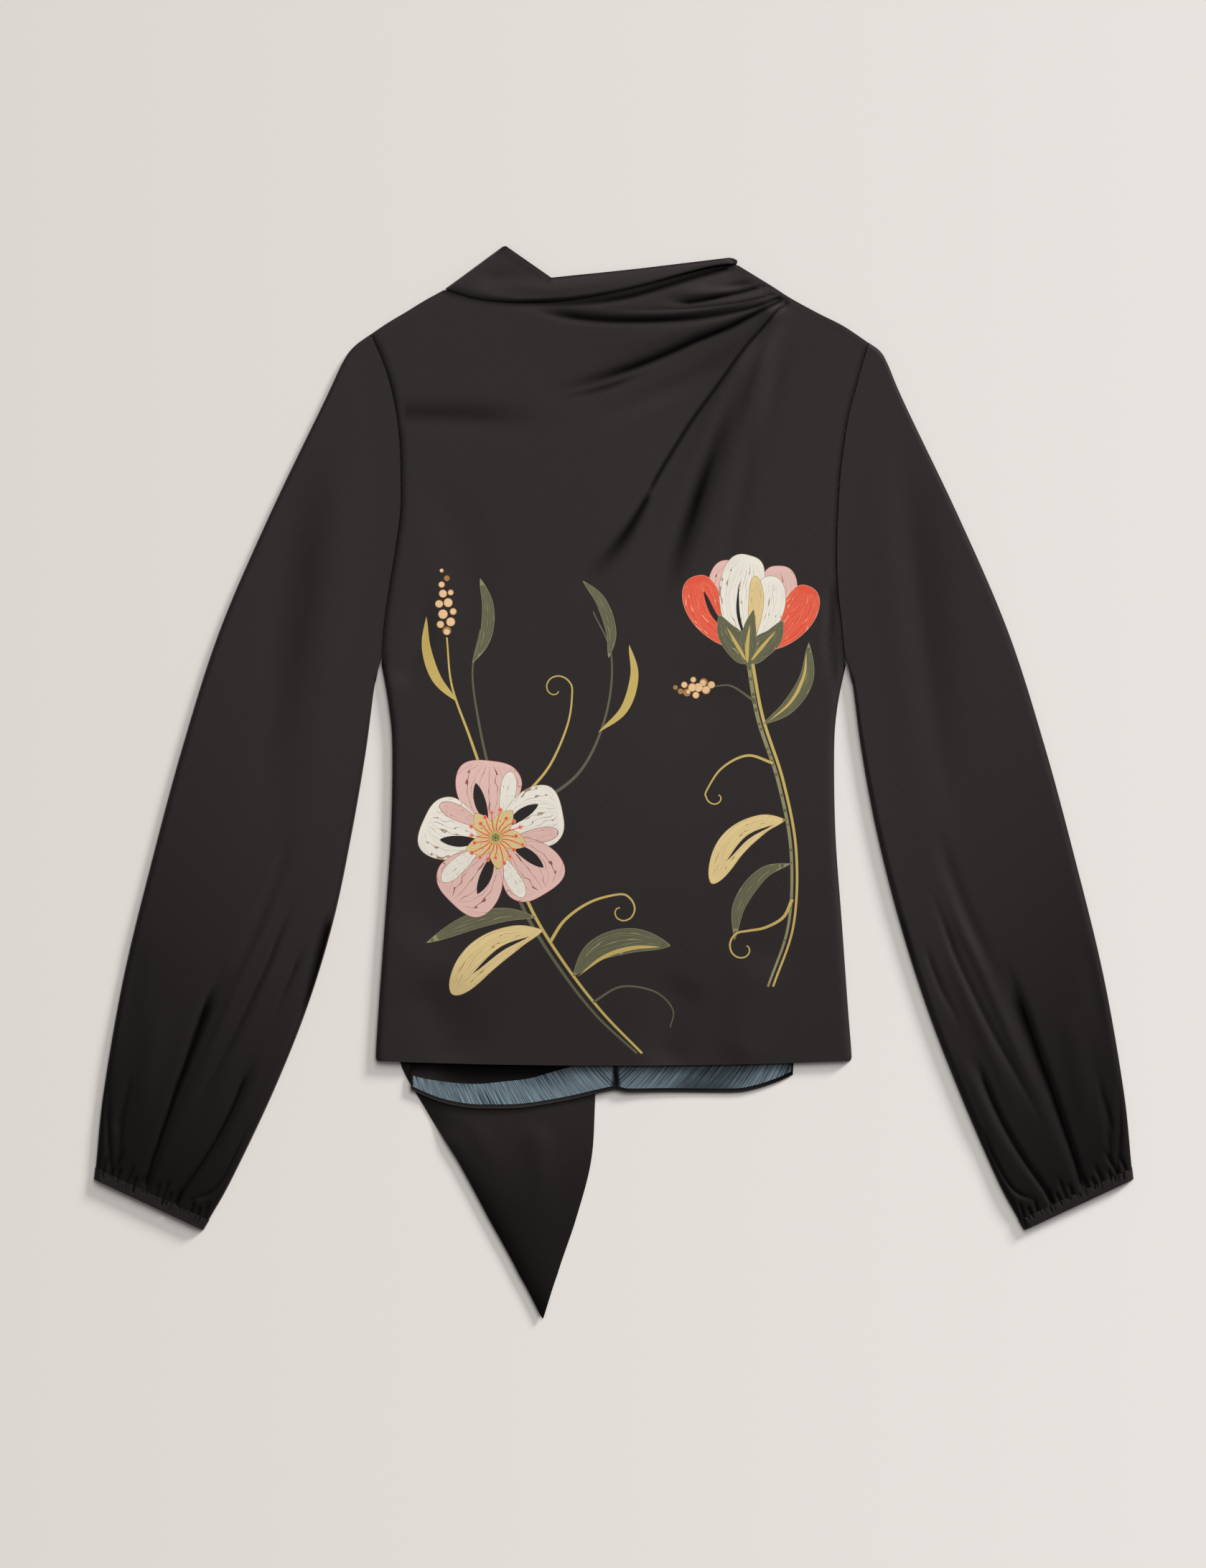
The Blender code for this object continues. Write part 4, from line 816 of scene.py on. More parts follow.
SEAM = 0.35          # between two pieces that are sewn together
HEM_WAVE, HEM_LIFT = 1.4, 0.6       # how far the loose hem lifts and falls, and its least lift
WAVE_LONG, WAVE_SHORT, WAVE_START = 61.0, 23.0, 0.6
LOOSE_RANGE = (-216.0, -236.0)      # where the back comes loose from the front
BACK_HEM = [(-158.0, -240.5), (-146.7, -245.6), (-133.3, -250.6), (-113.1, -254.5), (-92.4, -255.1),
            (-72.2, -254.5), (-52.1, -251.7), (-31.4, -247.8), (-14.0, -243.7), (1.1, -240.8),
            (12.0, -242.6), (42.0, -242.4), (90.7, -242.8), (108.6, -240.5), (127.1, -234.6),
            (139.6, -229.0)]
BACK_TOP = [(-187.0, 344.0), (-161.8, 361.3), (-134.0, 376.6), (-129.0, 380.0), (-95.0, 371.5),
            (-40.0, 368.0), (20.0, 370.0), (65.0, 380.0), (92.0, 396.5), (99.0, 394.5), (112.0, 388.3),
            (124.0, 380.9), (139.0, 371.3), (179.0, 350.3), (196.0, 338.0)]
BACK_FOLDS = [
    Fold(-1.0, (1.2, 1.6), (1.2, 1.6), (0.1, 0.3), 0.6, [(3, -246), (2, -236), (-1.5, -218)]),
    Fold(0.9, (7, 12), (7, 12), (0.3, 0.4), 0, [(96, 376), (64, 320), (40, 250), (28, 180)]),
    Fold(0.8, (6, 10), (6, 10), (0.3, 0.4), 0, [(-150, 330), (-152, 250), (-146, 170)]),
    Fold(0.8, (12, 16), (12, 16), (0.3, 0.4), 0, [(60, 60), (110, -20), (128, -110)]),
    Fold(0.7, (10, 12), (10, 12), (0.3, 0.4), 0, [(10, 20), (24, -60), (30, -150)]),
]
BACK_COLUMNS, HANG_ROWS, BACK_ROWS, CLIMB_ROWS = 84, 13, 60, 48
HIGHEST_CLIMB, BUMP_POWER = 0.985, 1.6      # the rows bend towards the shoulders' line as they climb
BACK_SHADE, BACK_SHADE_RANGE = 0.92, (-252, -226)    # painted shadow under the front's hem
CORNER_LIGHT, CORNER_SPOT, CORNER_REACH = 9, -148, 22    # the painted shadow starts higher at the left corner


def back_shade(spots):
    """Painted shade on the inside of the back: darkest right under the front's hem, where its shadow falls,
    and in the slit.
    """
    corner = CORNER_LIGHT * np.exp(-((spots[:, 0] - CORNER_SPOT) / CORNER_REACH) ** 2)
    under = BACK_SHADE * smoothstep(*BACK_SHADE_RANGE, spots[:, 1] - corner)
    return np.maximum(under, folded(BACK_FOLDS, spots)[1])


def back_height(spots):
    wave = 0.5 + 0.5 * np.sin(spots[:, 0] / WAVE_SHORT + WAVE_START) * np.cos(spots[:, 0] / WAVE_LONG)
    loose = smoothstep(*LOOSE_RANGE, spots[:, 1])
    return FLOOR + lift(spots) + loose * (HEM_WAVE * wave + HEM_LIFT) + folded(BACK_FOLDS, spots)[0]


def grid_faces(rows):
    """Faces between rows of point numbers."""
    return [(low[i], low[i + 1], high[i + 1], high[i])
            for low, high in zip(rows, rows[1:]) for i in range(len(low) - 1)]


def grid_shell(name, rows, heights, materials, wall=CLOTH, closed=False, flat=None, shades=None):
    """A shell from rows of points in plan, with their heights. Closed rows are rings."""
    rows = np.array(rows)
    points = np.column_stack([rows.reshape(-1, 2), np.array(heights).ravel()])
    numbers = np.arange(len(points)).reshape(rows.shape[:2])
    if closed:
        numbers = np.column_stack([numbers, numbers[:, :1]])
    flat = points[:, :2] if flat is None else flat
    return shell(name, points, grid_faces(numbers.tolist()), flat, materials, wall, shades=shades)


def back_plan():
    shares = np.linspace(0, 1, BACK_COLUMNS + 1)
    hem = table_path(BACK_HEM, [0, 1], 200)
    hem_x = hem[0, 0] + (hem[-1, 0] - hem[0, 0]) * shares
    low = np.column_stack([hem_x, np.interp(hem_x, hem[:, 0], hem[:, 1])])
    rows = []
    for y in np.linspace(SIDES[0].y, SIDES[-1].y, BACK_ROWS):
        side = along_rows(SIDES, places_at(SIDES, 0, [y]))[0]
        left, right = side[1] + side[3] + SEAM, side[2] - side[4] - SEAM
        rows.append(np.column_stack([left + (right - left) * shares, np.full(len(shares), y)]))
    hang = [low + (rows[0] - low) * share for share in np.linspace(0, 1, HANG_ROWS)[:-1]]
    top = np.array(BACK_TOP)
    for climb in np.linspace(0, HIGHEST_CLIMB, CLIMB_ROWS)[1:]:
        hole = along_rows(ARMHOLES, [climb * (len(ARMHOLES) - 1)])[0]
        start, end = hole[:2], hole[2:]
        spots = start + (end - start) * shares[:, None]
        straight = top[0, 1] + (top[-1, 1] - top[0, 1]) * shares
        bump = np.interp(top[0, 0] + (top[-1, 0] - top[0, 0]) * shares, top[:, 0], top[:, 1]) - straight
        spots[:, 1] += bump * climb ** BUMP_POWER
        rows.append(spots)
    return np.array(hang + rows)


plan = back_plan()
spots = plan.reshape(-1, 2)
back = grid_shell("back_cloth", plan, back_height(spots), [BLACK], shades=back_shade(spots))
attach(back, "root")
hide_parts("back")


# ---- Facing of the back's hem --------------------------------------------------------------------
# A strip of blue-grey cloth, streaked with fine light and dark threads on the bias, sewn along the
# inside of the back's hem. The satin's own edge shows as a narrow black border below it.

FACING_TOP = [(-156.4, -229.6), (-146.7, -232.0), (-126.6, -234.9), (-106.4, -236.0), (-85.7, -234.1),
              (-65.5, -231.6), (-45.4, -226.0), (-27.4, -221.0), (0.0, -214.0), (139.0, -212.0)]
FACING_INSET, FACING_LEAST = 3.2, 3.0      # above the back's hem, and its least height
FACING_LEFT_GAP, FACING_RIGHT_GAP = 1.6, 1.2
FACING_LIFT = 0.75   # above the middle of the back
FACING_COLUMNS, FACING_ROWS = 240, 17

BLUE = satin("blue_facing", (0.016, 0.028, 0.040), (0.20, 0.272, 0.312), 0.5, 0.05, angle=0.0, contrast=3.4,
             thread=0.0008)
# How the threads lean at places along the strip: x, and how far x falls as y rises.
LEANS = [(-158, -0.30), (-120, -0.42), (-60, -0.62), (-8, -1.0), (2.9, -1.1), (3.0, 1.1), (40, 0.85),
         (90, 0.8), (140, 0.45)]
LEAN_Y = -238
# Painted shadow of the front's hem along the top of the strip, with a wavy edge, and painted shade in the
# slit.
FACING_SHADE, FACING_SHADE_RANGE, FACING_SHADE_WAVE, FACING_WAVE = 0.7, (-240, -219), 3, 11
SLIT_SHADE, SLIT_SPOT, SLIT_REACH, SLIT_RANGE = 0.97, 1.5, 3.6, (-243, -236)
# Painted shadow: here the strip lies deeper in the hem's shadow.
SMOOTH_SHADE, SMOOTH_SPOT, SMOOTH_REACH, SMOOTH_DROP = 0.6, 70.0, 26.0, 8


def facing_plan():
    hem, top = table_path(BACK_HEM, [0, 1], 200), table_path(FACING_TOP, [0, 1], 200)
    x = np.linspace(BACK_HEM[0][0] + FACING_LEFT_GAP, BACK_HEM[-1][0] - FACING_RIGHT_GAP, FACING_COLUMNS)
    low = np.interp(x, hem[:, 0], hem[:, 1]) + FACING_INSET
    high = np.maximum(np.interp(x, top[:, 0], top[:, 1]), low + FACING_LEAST)
    return np.array([np.column_stack([x, low + (high - low) * share])
                     for share in np.linspace(0, 1, FACING_ROWS)])


def facing_shade(x, y):
    """Painted shade on the facing: the front's shadow, the slit, and a deeper patch of the hem's shadow where
    it lies smooth.
    """
    off = (x - SMOOTH_SPOT) / SMOOTH_REACH
    top = y + FACING_SHADE_WAVE * np.sin(x / FACING_WAVE) + SMOOTH_DROP * np.exp(-off ** 2)
    slit = np.exp(-(np.abs(x - SLIT_SPOT) / SLIT_REACH) ** 4) * smoothstep(*SLIT_RANGE, y)
    shades = np.maximum(FACING_SHADE * smoothstep(*FACING_SHADE_RANGE, top), SLIT_SHADE * slit)
    return np.maximum(shades, SMOOTH_SHADE * np.exp(-off ** 4))


plan = facing_plan()
spots = plan.reshape(-1, 2)
x, y = spots.T
leans = np.array(LEANS)
flat = np.column_stack([x - (y - LEAN_Y) * np.interp(x, leans[:, 0], leans[:, 1]), y])
facing = grid_shell("back_hem_facing_cloth", plan, back_height(spots) + FACING_LIFT, [BLUE], flat=flat,
                    shades=facing_shade(x, y))
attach(facing, "root")
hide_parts("back_hem_facing")


# ---- Neck band -----------------------------------------------------------------------------------
# A folded strip of satin, sewn round the neck and pressed flat. At its left it folds over into a peak,
# where the tie starts. It is a ring: its front part lies over its back part.

BAND_TOP = [(-86.6, 416.9), (-84.0, 417.0), (-48.7, 392.3), (20.0, 399.6), (91.5, 408.2)]
BAND_TOP_SHARES = (0.0, 1 / 108, 4 / 18, 11 / 18, 1.0)   # where those points stand along the neck seam
BACK_NECK = [(-129.0, 380.0), (-95.0, 371.5), (-40.0, 368.0), (20.0, 370.0), (65.0, 380.0), (92.0, 396.5)]
BAND_COLUMNS, BAND_ROWS = 108, 24
BAND_RISE, BAND_TILT = 6.2, 1.6     # above the surface near its seam, and how far it falls to its top edge
BAND_RISE_SHARE = 0.16      # share of its height in which it rises from the front
BAND_LIP, BAND_ROUND, BAND_END_ROUND = 1.55, 4.0, 4.0    # thickness and roundness of its edges
BAND_SEAM, BAND_END_GAP, BACK_NECK_GAP, BEHIND_DROP = 0.1, 1.4, 0.9, 0.6
BAND_TIP, BAND_TIP_FROM = 2.2, 0.94     # its right end bulges out
# Painted shade along the band's top edge, wider on the peak, at its right end and along its seam.
BAND_EDGE_SHADE, PEAK_REACH, LIP_REACH, BAND_END_REACH = 0.72, 4.5, 1.5, 2.2
BAND_SEAM_SHADE, BAND_SEAM_REACH = 0.85, 2.0
BAND_FOLDS = [
    Fold(1.2, (6.0, 6.0), (7.0, 5.0), (0.3, 0.4), 0,
         [(-95, 396), (-60, 384), (-10, 388), (40, 396), (80, 403)]),
    Fold(-0.9, (7.0, 5.0), (7.0, 5.0), (0.3, 0.3), 0, [(-108, 388), (-84, 392), (-56, 387)]),
]


def make_band():
    shares = np.linspace(0, 1, BAND_COLUMNS + 1)
    neck_x = NECK_SEAM[0][0] + (NECK_SEAM[-1][0] - NECK_SEAM[0][0]) * shares
    seam = np.column_stack([neck_x, np.interp(neck_x, NECK_LINE[:, 0], NECK_LINE[:, 1]) + SEAM + BAND_SEAM])
    seam[0] += (BAND_END_GAP, BAND_END_GAP / 2)
    seam[-1] += (-BAND_END_GAP, BAND_END_GAP / 2)
    top = np.array(BAND_TOP)
    edge = np.column_stack([np.interp(shares, BAND_TOP_SHARES, top[:, k]) for k in (0, 1)])
    ends = [np.array([seam[0], edge[0]]), np.array([seam[-1], edge[-1]])]
    inner = np.arange(BAND_COLUMNS - 2, 0, -2)
    back_neck = table_path(BACK_NECK, [0, 1], 120)
    at_seam = front_form(seam - (0, BEHIND_DROP))[0] - FLOOR
    rows, heights, shades = [], [], []
    for share in np.linspace(0, 1, BAND_ROWS + 1):
        front = seam + (edge - seam) * share
        front[:, 0] += BAND_TIP * np.sin(np.pi * share) * smoothstep(BAND_TIP_FROM, 1.0, shares)
        to_left, to_right, to_edge, to_seam = (near_path(front, path)[0] for path in (*ends, edge, seam))
        full = at_seam + (BAND_RISE - at_seam) * smoothstep(0, BAND_RISE_SHARE, share) - BAND_TILT * share
        full = full + folded(BAND_FOLDS, front)[0]
        lip = BAND_LIP + (full - BAND_LIP) * rounded(to_edge, BAND_ROUND)
        held = lift(front)
        reach = np.where(front[:, 0] < BAND_TOP[2][0], PEAK_REACH, LIP_REACH)
        dark = BAND_EDGE_SHADE * np.exp(-(to_edge / reach) ** 2)
        dark = np.maximum(dark, BAND_EDGE_SHADE * np.exp(-(to_right / BAND_END_REACH) ** 2))
        dark = np.maximum(dark, BAND_SEAM_SHADE * np.exp(-(to_seam / BAND_SEAM_REACH) ** 2))
        shades.append(np.r_[dark, np.zeros(len(inner))])
        closed = rounded(np.minimum(to_left, to_right), BAND_END_ROUND)
        front_z = FLOOR + held + np.maximum(lip - held, BAND_LIP) * closed
        low = np.interp(front[inner, 0], back_neck[:, 0], back_neck[:, 1]) + BACK_NECK_GAP
        behind = np.column_stack([front[inner, 0], low + (front[inner, 1] - BEHIND_DROP - low) * share])
        rows.append(np.vstack([front, behind]))
        heights.append(np.r_[front_z, FLOOR + lift(behind)])
    return grid_shell("neck_band_cloth", rows, heights, [BLACK], closed=True, shades=np.concatenate(shades))


neck_band = make_band()
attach(neck_band, "root")
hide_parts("neck_band")


# ---- Tie end -------------------------------------------------------------------------------------
# A long strip of satin that tapers to a point. It goes on from the peak of the neck band, lies flat
# behind the back, and shows below the hem with soft folds along it.

TIE_FOLDS = [
    Fold(1.6, (7.0, 14.0), (7.0, 14.0), (0.2, 0.4), 0, [(-62, -225), (-58, -300), (-56, -370)]),
    Fold(1.2, (6.0, 9.0), (6.0, 9.0), (0.2, 0.4), 0, [(-118, -235), (-92, -310)]),
]
TIE_WALL, TIE_POINTS = 0.8, 37
TIE_ROWS = np.r_[np.linspace(TIE_EDGES[0][0], -210.0, 60), np.linspace(-214.0, TIE_EDGES[-1][0], 90)]
TIE_FREE_RANGE = (-262.0, -285.0)    # below the back's hem
TIE_CURL, TIE_CURL_REACH = 2.2, 13.0       # its left edge curls up a little
# Painted shade over all the tie end, deeper towards its tip and along its curled left edge.
TIE_SHADE, TIE_TIP_SHADE, TIE_TIP_RANGE = 0.18, 0.3, (-240, -350)
TIE_EDGE_SHADE, TIE_EDGE_WIDER = 0.4, 1.5
plan, heights, shades = [], [], []
for y in TIE_ROWS:
    row = along_rows(TIE_EDGES, places_at(TIE_EDGES, 0, [y]))[0]
    spots = np.column_stack([np.linspace(row[2], row[1], TIE_POINTS), np.full(TIE_POINTS, y)])
    from_left = spots[:, 0] - row[1]
    curled = TIE_CURL * np.exp(-(from_left / TIE_CURL_REACH) ** 2)
    plan.append(spots)
    heights.append(FLOOR + smoothstep(*TIE_FREE_RANGE, y) * (folded(TIE_FOLDS, spots)[0] + curled))
    shades.append(TIE_TIP_SHADE * smoothstep(*TIE_TIP_RANGE, y) + TIE_SHADE
                  + TIE_EDGE_SHADE * np.exp(-(from_left / TIE_EDGE_WIDER / TIE_CURL_REACH) ** 2))
tie_end = grid_shell("tie_end_cloth", plan, heights, [BLACK], wall=TIE_WALL, shades=np.concatenate(shades))
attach(tie_end, "root")
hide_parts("tie_end")


# ---- Sleeves -------------------------------------------------------------------------------------
# Full sleeves, tubes of satin set into the armholes and pressed flat. Towards the wrist their fullness
# is drawn in, and folds of uneven length run up from the gathers.

Section = namedtuple("Section", "outer_x outer_y inner_x inner_y right_slack rise")
SLEEVE_SECTIONS = [
    Section(-189.3, 348.6, -182.4, 90.0, 0.0, 4.0),
    Section(-202.2, 339.1, -183.8, 84.0, 0.0, 4.0),
    Section(-211.1, 326.8, -185.4, 78.0, 0.0, 4.1),
    Section(-225.7, 296.0, -187.4, 70.0, 0.0, 4.2),
    Section(-268.8, 206.4, -193.8, 21.6, 0.0, 4.5),
    Section(-307.4, 116.8, -204.4, -40.0, 1.0, 4.8),
    Section(-336.0, 27.2, -218.4, -107.2, 4.0, 4.9),
    Section(-360.1, -62.4, -238.6, -174.4, 5.0, 4.9),
    Section(-381.9, -152.0, -265.4, -241.6, 4.0, 5.0),
    Section(-397.6, -241.6, -297.9, -310.0, 1.0, 5.0),
    Section(-403.8, -301.0, -315.8, -341.9, 0.0, 4.6),
]
SLEEVE_LENGTH = 690
SLEEVE_ROUND, SLEEVE_LEAST_RISE = 6.0, 1.2
UNDER_SHARE = 0.14      # how much of the folds shows underneath
FIT_REACH = 0.35        # share of the sleeve in which its rings turn from the armhole's line to its own
UNDERARM_GAP, UNDERARM_FROM = 3.0, 0.97
CAP_DIP, CAP_DIP_REACH = 0.4, 1.8       # the sleeve sinks under the front's edge at the armhole
# Painted shade along the armhole seam.
CAP_SHADE, CAP_SHADE_REACH = 0.75, 2.2
CAP_RINGS, CAP_NEXT = np.linspace(0, 0.01, 7), 0.004       # the rings near the armhole are close together
SLEEVE_RINGS, RINGS_POWER, TOP_STEPS, UNDER_STEPS = 186, 1.25, 104, 26
EVEN_SHARE = 0.55       # of the steps across it. The rest are closer together at its edges

# Folds of the left sleeve, with x to the left. The right sleeve has the same ones as in a mirror.
SLEEVE_FOLDS = [
    Fold(-1.0, (24, 18), (15, 10), (0.3, 0.3), 0.22,
         [(222, 300), (228, 262), (244, 133), (266, -30), (278, -90), (296, -140)]),
    Fold(0.7, (15, 12), (18, 12), (0.3, 0.3), 0, [(206, 280), (220, 133), (243, -45), (262, -96)]),
    Fold(-1.0, (5, 5), (7, 4), (0.3, 0.2), 0.15,
         [(250, -30), (262, -70), (275, -104), (291, -138), (306, -165)]),
    Fold(-2.2, (3.6, 2.2), (14.0, 2.6), (0.25, 0.03), 0.95,
         [(300, -136), (306, -148), (316, -170), (324, -192), (333, -218), (341, -240), (349, -264),
          (356, -285), (362, -304), (367, -324)]),
    Fold(0.9, (4, 4), (4, 4), (0.3, 0.2), 0,
         [(255, -70), (270, -112), (285, -144), (301, -180), (316, -215), (331, -246), (341, -270)]),
    Fold(-1.1, (2.6, 2.0), (2.6, 2.0), (0.25, 0.15), 0.5,
         [(243, -80), (255, -106), (268, -140), (282, -170), (297, -200), (311, -225), (325, -250),
          (338, -274)]),
    Fold(0.8, (5, 5), (6, 5), (0.3, 0.2), 0,
         [(252, -112), (272, -160), (288, -196), (306, -236), (322, -272)]),
    Fold(-0.9, (2.4, 2.6), (2.4, 3), (0.2, 0.3), 0.45,
         [(242, -128), (250, -150), (258, -168), (266, -184), (274, -204)]),
    Fold(-1.8, (2.6, 2.2), (5.0, 2.2), (0.2, 0.03), 0.9,
         [(279, -212), (288, -232), (297, -254), (308, -276), (320, -296), (336, -319), (345, -334)]),
    Fold(-1.2, (1.8, 1.6), (1.8, 1.6), (0.3, 0.1), 0.8,
         [(284, -264), (294, -289), (306, -312), (316, -322), (334, -328)]),
    Fold(0.6, (5, 5), (5, 5), (0.3, 0.2), 0, [(262, -200), (282, -240), (300, -280), (314, -312)]),
    Fold(-1.0, (2.4, 1.8), (2.4, 1.8), (0.4, 0.05), 0.7,
         [(391, -222), (394, -250), (394, -276), (391, -314)]),
    Fold(-0.9, (1.8, 1.8), (1.8, 1.8), (0.4, 0.2), 0.6, [(382, -246), (386, -262), (388, -278)]),
    Fold(-1.0, (3, 2), (3, 2), (0.4, 0.2), 0.2, [(374, -216), (379, -240), (384, -268), (387, -314)]),
    Fold(0.9, (9, 8), (9, 8), (0.3, 0.2), 0, [(352, -170), (362, -220), (371, -280)]),
    Fold(-0.4, (7, 6), (7, 6), (0.2, 0.2), 0.97,
         [(215, -92), (224, -122), (232, -152), (242, -188), (254, -216)]),
    Fold(-0.8, (9, 8), (9, 8), (0.3, 0.2), 0, [(368, -120), (376, -170), (384, -210)]),
]
# Short gathers above the cuff: where each one is along it, from its outer end, how long it is, and how
# far it leans.
Gather = namedtuple("Gather", "spot length lean")
WRIST_GATHERS = [
    Gather(0.06, 14, 1.0), Gather(0.13, 24, -2.0), Gather(0.19, 9, 1.0), Gather(0.27, 17, 0.0),
    Gather(0.33, 8, -1.5), Gather(0.395, 13, 1.0), Gather(0.53, 12, 2.0), Gather(0.585, 20, 1.0),
    Gather(0.64, 9, -1.0), Gather(0.71, 16, 2.0), Gather(0.84, 12, 2.5), Gather(0.90, 8, 1.0),
    Gather(0.955, 15, 1.5),
]
WRIST_OUTER, WRIST_INNER = np.array([403.8, -301.0]), np.array([315.8, -341.9])
UP_X, UP_Y, LEAN_STEP = -0.42, 0.91, 0.05     # up the sleeve from the wrist, and how much a lean turns it
for gather in WRIST_GATHERS:
    end = WRIST_OUTER + (WRIST_INNER - WRIST_OUTER) * gather.spot
    up = np.array([UP_X + LEAN_STEP * gather.lean, UP_Y]) * gather.length
    SLEEVE_FOLDS.append(Fold(-1.5, (1.4, 1.7), (1.4, 1.7), (0.5, 0.01), 0.7,
                             [tuple(end + up), tuple(end + up / 2), tuple(end - up / 9)]))
LIT_EDGE_SHADE, LIT_EDGE_REACH = 0.5, 4.5     # painted shade that dims the highlight on each sleeve's right edge, which faces the low light
WRIST_SHADE, WRIST_SHADE_REACH = 0.66, 200.0   # painted shade, deepening down towards the gathers at the wrist


def sleeve_plan(along, across, side):
    """Points of a sleeve in plan. At the armhole they lie a seam's gap outside the front's edge."""
    rows = along_rows(SLEEVE_SECTIONS, np.minimum(along, 1) * (len(SLEEVE_SECTIONS) - 1))
    inner_x = rows[:, 2] - (rows[:, 4] if side > 0 else 0)
    x = rows[:, 0] + (inner_x - rows[:, 0]) * across
    y = rows[:, 1] + (rows[:, 3] - rows[:, 1]) * across
    hole = along_rows(ARMHOLES, (1 - across) * (len(ARMHOLES) - 1))
    gap = SEAM + (UNDERARM_GAP - SEAM) * smoothstep(UNDERARM_FROM, 1.0, across)
    hole_x, hole_y = (hole[:, 0], hole[:, 1]) if side < 0 else (-hole[:, 2], hole[:, 3])
    start = SLEEVE_SECTIONS[0]
    fade = np.maximum(1 - along / FIT_REACH, 0) ** 1.5
    x += (hole_x - gap - start.outer_x - (start.inner_x - start.outer_x) * across) * fade
    y += (hole_y - start.outer_y - (start.inner_y - start.outer_y) * across) * fade
    return np.column_stack([-side * x, y]) if side > 0 else np.column_stack([x, y])


def make_sleeve(name, side):
    even = np.linspace(0, 1, TOP_STEPS + 1)
    top = EVEN_SHARE * even + (1 - EVEN_SHARE) * (0.5 - 0.5 * np.cos(np.pi * even))
    across = np.r_[top, np.interp(np.linspace(1, 0, UNDER_STEPS + 2)[1:-1], even, top)]
    on_top = np.arange(len(across)) <= TOP_STEPS
    ways = np.r_[CAP_RINGS, 1 - (1 - np.linspace(CAP_RINGS[-1] + CAP_NEXT, 1, SLEEVE_RINGS)) ** RINGS_POWER]
    rows = [sleeve_plan(np.full(len(across), along), across, side) for along in ways]
    deep, shades = folded(SLEEVE_FOLDS, np.abs(np.vstack(rows)) * (1, 0) + np.vstack(rows) * (0, 1))
    deep, shades = deep.reshape(len(rows), -1), shades.reshape(len(rows), -1)
    heights, flat = [], []
    for number, along in enumerate(ways):
        section = along_rows(SLEEVE_SECTIONS, along * (len(SLEEVE_SECTIONS) - 1))[0]
        width = np.hypot(section[2] - section[0], section[3] - section[1])
        edge = np.minimum(across, 1 - across) * width
        down, up = along * SLEEVE_LENGTH, (1 - along) * SLEEVE_LENGTH
        rise = section[5] + deep[number] - CAP_DIP * np.exp(-(down / CAP_DIP_REACH) ** 2)
        high = np.maximum(rise, SLEEVE_LEAST_RISE) * rounded(edge, SLEEVE_ROUND)
        low = UNDER_SHARE * np.maximum(-deep[number], 0) * rounded(edge, SLEEVE_ROUND)
        heights.append(FLOOR + np.where(on_top, high, low))
        round_it = np.where(on_top, across, 2 - across) * width
        flat.append(np.column_stack([round_it, np.full(len(across), down)]))
        lit = np.where((across < 0.5) == (side > 0), LIT_EDGE_REACH, EDGE_SHADE_REACH)
        for shade in (WRIST_SHADE * np.exp(-(up / WRIST_SHADE_REACH) ** 2),
                      CAP_SHADE * np.exp(-(down / CAP_SHADE_REACH) ** 2),
                      LIT_EDGE_SHADE * np.exp(-(edge / lit) ** 2)):
            shades[number] = np.maximum(shades[number], shade)
        shades[number] *= on_top
    if side < 0:
        rows, heights, flat, shades = ([part[::-1] for part in parts]
                                       for parts in (rows, heights, flat, shades))
    return grid_shell(name, rows, heights, [BLACK], closed=True, flat=np.vstack(flat),
                      shades=np.concatenate(list(shades)))


for name, side in (("left", -1), ("right", 1)):
    sleeve = make_sleeve(f"sleeve_{name}_cloth", side)
    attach(sleeve, "root")
    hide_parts(f"sleeve_{name}")


# ---- Cuffs ---------------------------------------------------------------------------------------
# A narrow casing at each wrist, with elastic in it that gathers it all round.

CUFF_OUTER, CUFF_INNER = (-404.9, -310.2), (-320.3, -349.7)
CUFF_RISE, CUFF_WALL, CUFF_ROUND = 4.4, 1.2, 7.0
CUFF_GAP = 0.4       # share of a seam that is left between it and the sleeve
CUFF_ROWS = 15
PLEATS = ((21, 260), (12, 90))      # pleats and steps across, on top and underneath
# Painted shade in the pleats on top; the whole casing is darkened a little as well.
PLEAT_DEPTH, UNDER_PLEAT_DEPTH, PLEAT_SHADE, CUFF_SHADE = 0.9, 0.3, 0.85, 0.34
PLEAT_LEAN, PLEAT_FADE, PLEAT_RUN = 0.02, 0.5, 1.2
PLEAT_SPOTS, PLEAT_SIZES = (0.1, 0.9), (0.45, 1.1)      # between which the pleats' places and sizes vary
CHANCE = 12


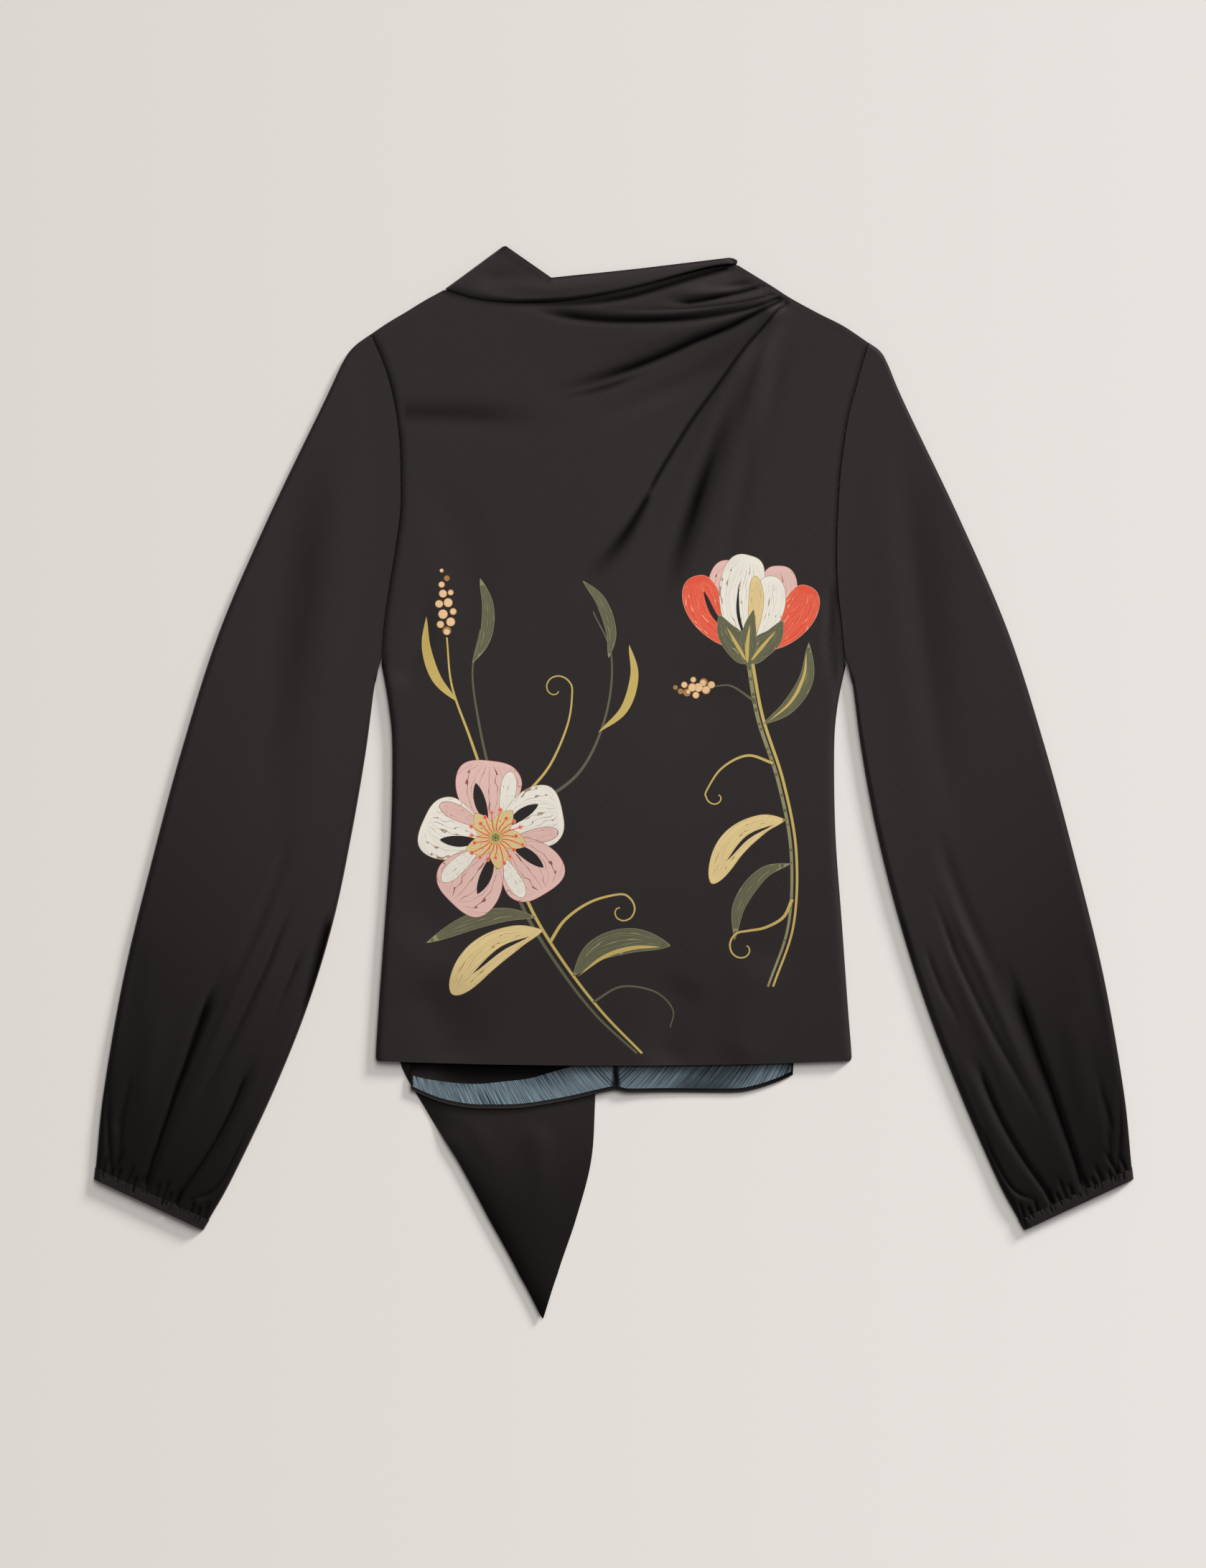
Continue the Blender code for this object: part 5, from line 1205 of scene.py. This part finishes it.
def make_cuff(name, side):
    last = SLEEVE_SECTIONS[-1]
    outer0, inner0 = np.array([last.outer_x, last.outer_y]), np.array([last.inner_x, last.inner_y])
    outer1, inner1 = np.array(CUFF_OUTER), np.array(CUFF_INNER)
    away = (outer1 - outer0) / np.hypot(*(outer1 - outer0))
    outer0, inner0 = outer0 + away * CUFF_GAP * SEAM, inner0 + away * CUFF_GAP * SEAM
    chance = np.random.default_rng(CHANCE + side)
    halves = []
    for pleats, steps in PLEATS:
        spots = (np.arange(pleats) + chance.uniform(*PLEAT_SPOTS, pleats)) / pleats
        halves.append((np.arange(steps) / steps, spots, chance.uniform(*PLEAT_SIZES, (4, pleats))))
    rows, heights, shades = [], [], []
    for share in np.linspace(0, 1, CUFF_ROWS):
        outer, inner = outer0 + (outer1 - outer0) * share, inner0 + (inner1 - inner0) * share
        width = np.hypot(*(inner - outer))
        for on_top, (across, spots, (thin, deep, long, lean)) in zip((True, False), halves):
            across = across if on_top else 1 - across
            away = across[:, None] - spots - PLEAT_LEAN * (lean - 0.75) * share
            bells = deep * np.exp(-(away * width / thin) ** 2)
            bells = bells * smoothstep(long, long - PLEAT_FADE, share * PLEAT_RUN)
            pleated = np.minimum(bells.sum(axis=1), 1)
            full = CUFF_RISE - PLEAT_DEPTH * pleated if on_top else UNDER_PLEAT_DEPTH * pleated
            rise = full * rounded(np.minimum(across, 1 - across) * width, CUFF_ROUND)
            rows.append((outer + (inner - outer) * across[:, None]) * ((-1, 1) if side > 0 else (1, 1)))
            heights.append(CUFF_WALL / 2 + rise)
            shades.append(CUFF_SHADE + (PLEAT_SHADE - CUFF_SHADE) * pleated * on_top)
    rows, heights, shades = ([np.concatenate(pair) for pair in zip(parts[::2], parts[1::2])]
                             for parts in (rows, heights, shades))
    if side < 0:
        rows, heights, shades = (part[::-1] for part in (rows, heights, shades))
    return grid_shell(name, rows, heights, [BLACK], wall=CUFF_WALL, closed=True,
                      shades=np.concatenate(shades))


for name, side in (("left", -1), ("right", 1)):
    cuff = make_cuff(f"cuff_{name}_cloth", side)
    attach(cuff, "root")
    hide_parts(f"cuff_{name}")


# ---- Floor, light and camera ---------------------------------------------------------------------
# A plain pale surface, with painted shade that makes it a little darker to the left. A soft light stands high
# up and a low one shines across from the far right, and the camera looks straight down. Sizes here are
# metres.

FLOOR_HALF = 3.0
FLOOR_LEFT, FLOOR_RIGHT = (0.71, 0.668, 0.632, 1), (0.80, 0.765, 0.73, 1)
FLOOR_CHANGE = 0.5       # the painted shade changes the tone from this far on the left to as far on the right
PHOTO_ROWS, PIXEL = 2185, 0.00056
LENS, SENSOR = 85.0, 36.0        # in millimetres
CAMERA_X, CAMERA_Y = -0.0084, -0.0022


def make_floor():
    mesh = bpy.data.meshes.new("floor")
    corners = [(x * FLOOR_HALF, y * FLOOR_HALF, 0) for x, y in ((-1, -1), (1, -1), (1, 1), (-1, 1))]
    mesh.from_pydata(corners, [], [(0, 1, 2, 3)])
    floor = bpy.data.objects.new("floor", mesh)
    bpy.context.scene.collection.objects.link(floor)
    material, shader, nodes, links = nodes_of("pale_floor")
    place = nodes.new("ShaderNodeTexCoord")
    apart = nodes.new("ShaderNodeSeparateXYZ")
    links.new(place.outputs["Object"], apart.inputs["Vector"])
    share = nodes.new("ShaderNodeMapRange")
    share.inputs["From Min"].default_value = -FLOOR_CHANGE
    share.inputs["From Max"].default_value = FLOOR_CHANGE
    links.new(apart.outputs["X"], share.inputs["Value"])
    tone = nodes.new("ShaderNodeMix")
    tone.data_type = "RGBA"
    tone.inputs["A"].default_value, tone.inputs["B"].default_value = FLOOR_LEFT, FLOOR_RIGHT
    links.new(share.outputs["Result"], tone.inputs["Factor"])
    links.new(tone.outputs["Result"], shader.inputs["Base Color"])
    shader.inputs["Roughness"].default_value = 0.9
    shader.inputs["Specular IOR Level"].default_value = 0.1
    mesh.materials.append(material)


make_floor()


def sun_light(name, source, strength, angle):
    """A light from the direction of a place. The larger its angle, the softer its shadows."""
    data = bpy.data.lights.new(name, "SUN")
    data.energy, data.angle = strength, angle
    lamp = bpy.data.objects.new(name, data)
    bpy.context.scene.collection.objects.link(lamp)
    lamp.location = source
    lamp.rotation_euler = (-Vector(source)).to_track_quat("-Z", "Y").to_euler()


sun_light("top_softbox", (0.40, 0.75, 1.0), 1.85, 0.75)
sun_light("low_key", (1.0, 1.0, 0.43), 3.9, 0.2)
world = bpy.data.worlds.new("studio")
bpy.context.scene.world = world
world.use_nodes = True
world.node_tree.nodes["Background"].inputs["Color"].default_value = (1, 0.99, 0.98, 1)
world.node_tree.nodes["Background"].inputs["Strength"].default_value = 0.2
bpy.context.scene.view_settings.view_transform = "Standard"

camera_data = bpy.data.cameras.new("camera")
camera_data.sensor_fit = "VERTICAL"
camera_data.sensor_height = SENSOR
camera_data.lens = LENS
camera = bpy.data.objects.new("camera", camera_data)
bpy.context.scene.collection.objects.link(camera)
camera.location = (CAMERA_X, CAMERA_Y, PHOTO_ROWS * PIXEL * LENS / SENSOR)
bpy.context.scene.camera = camera
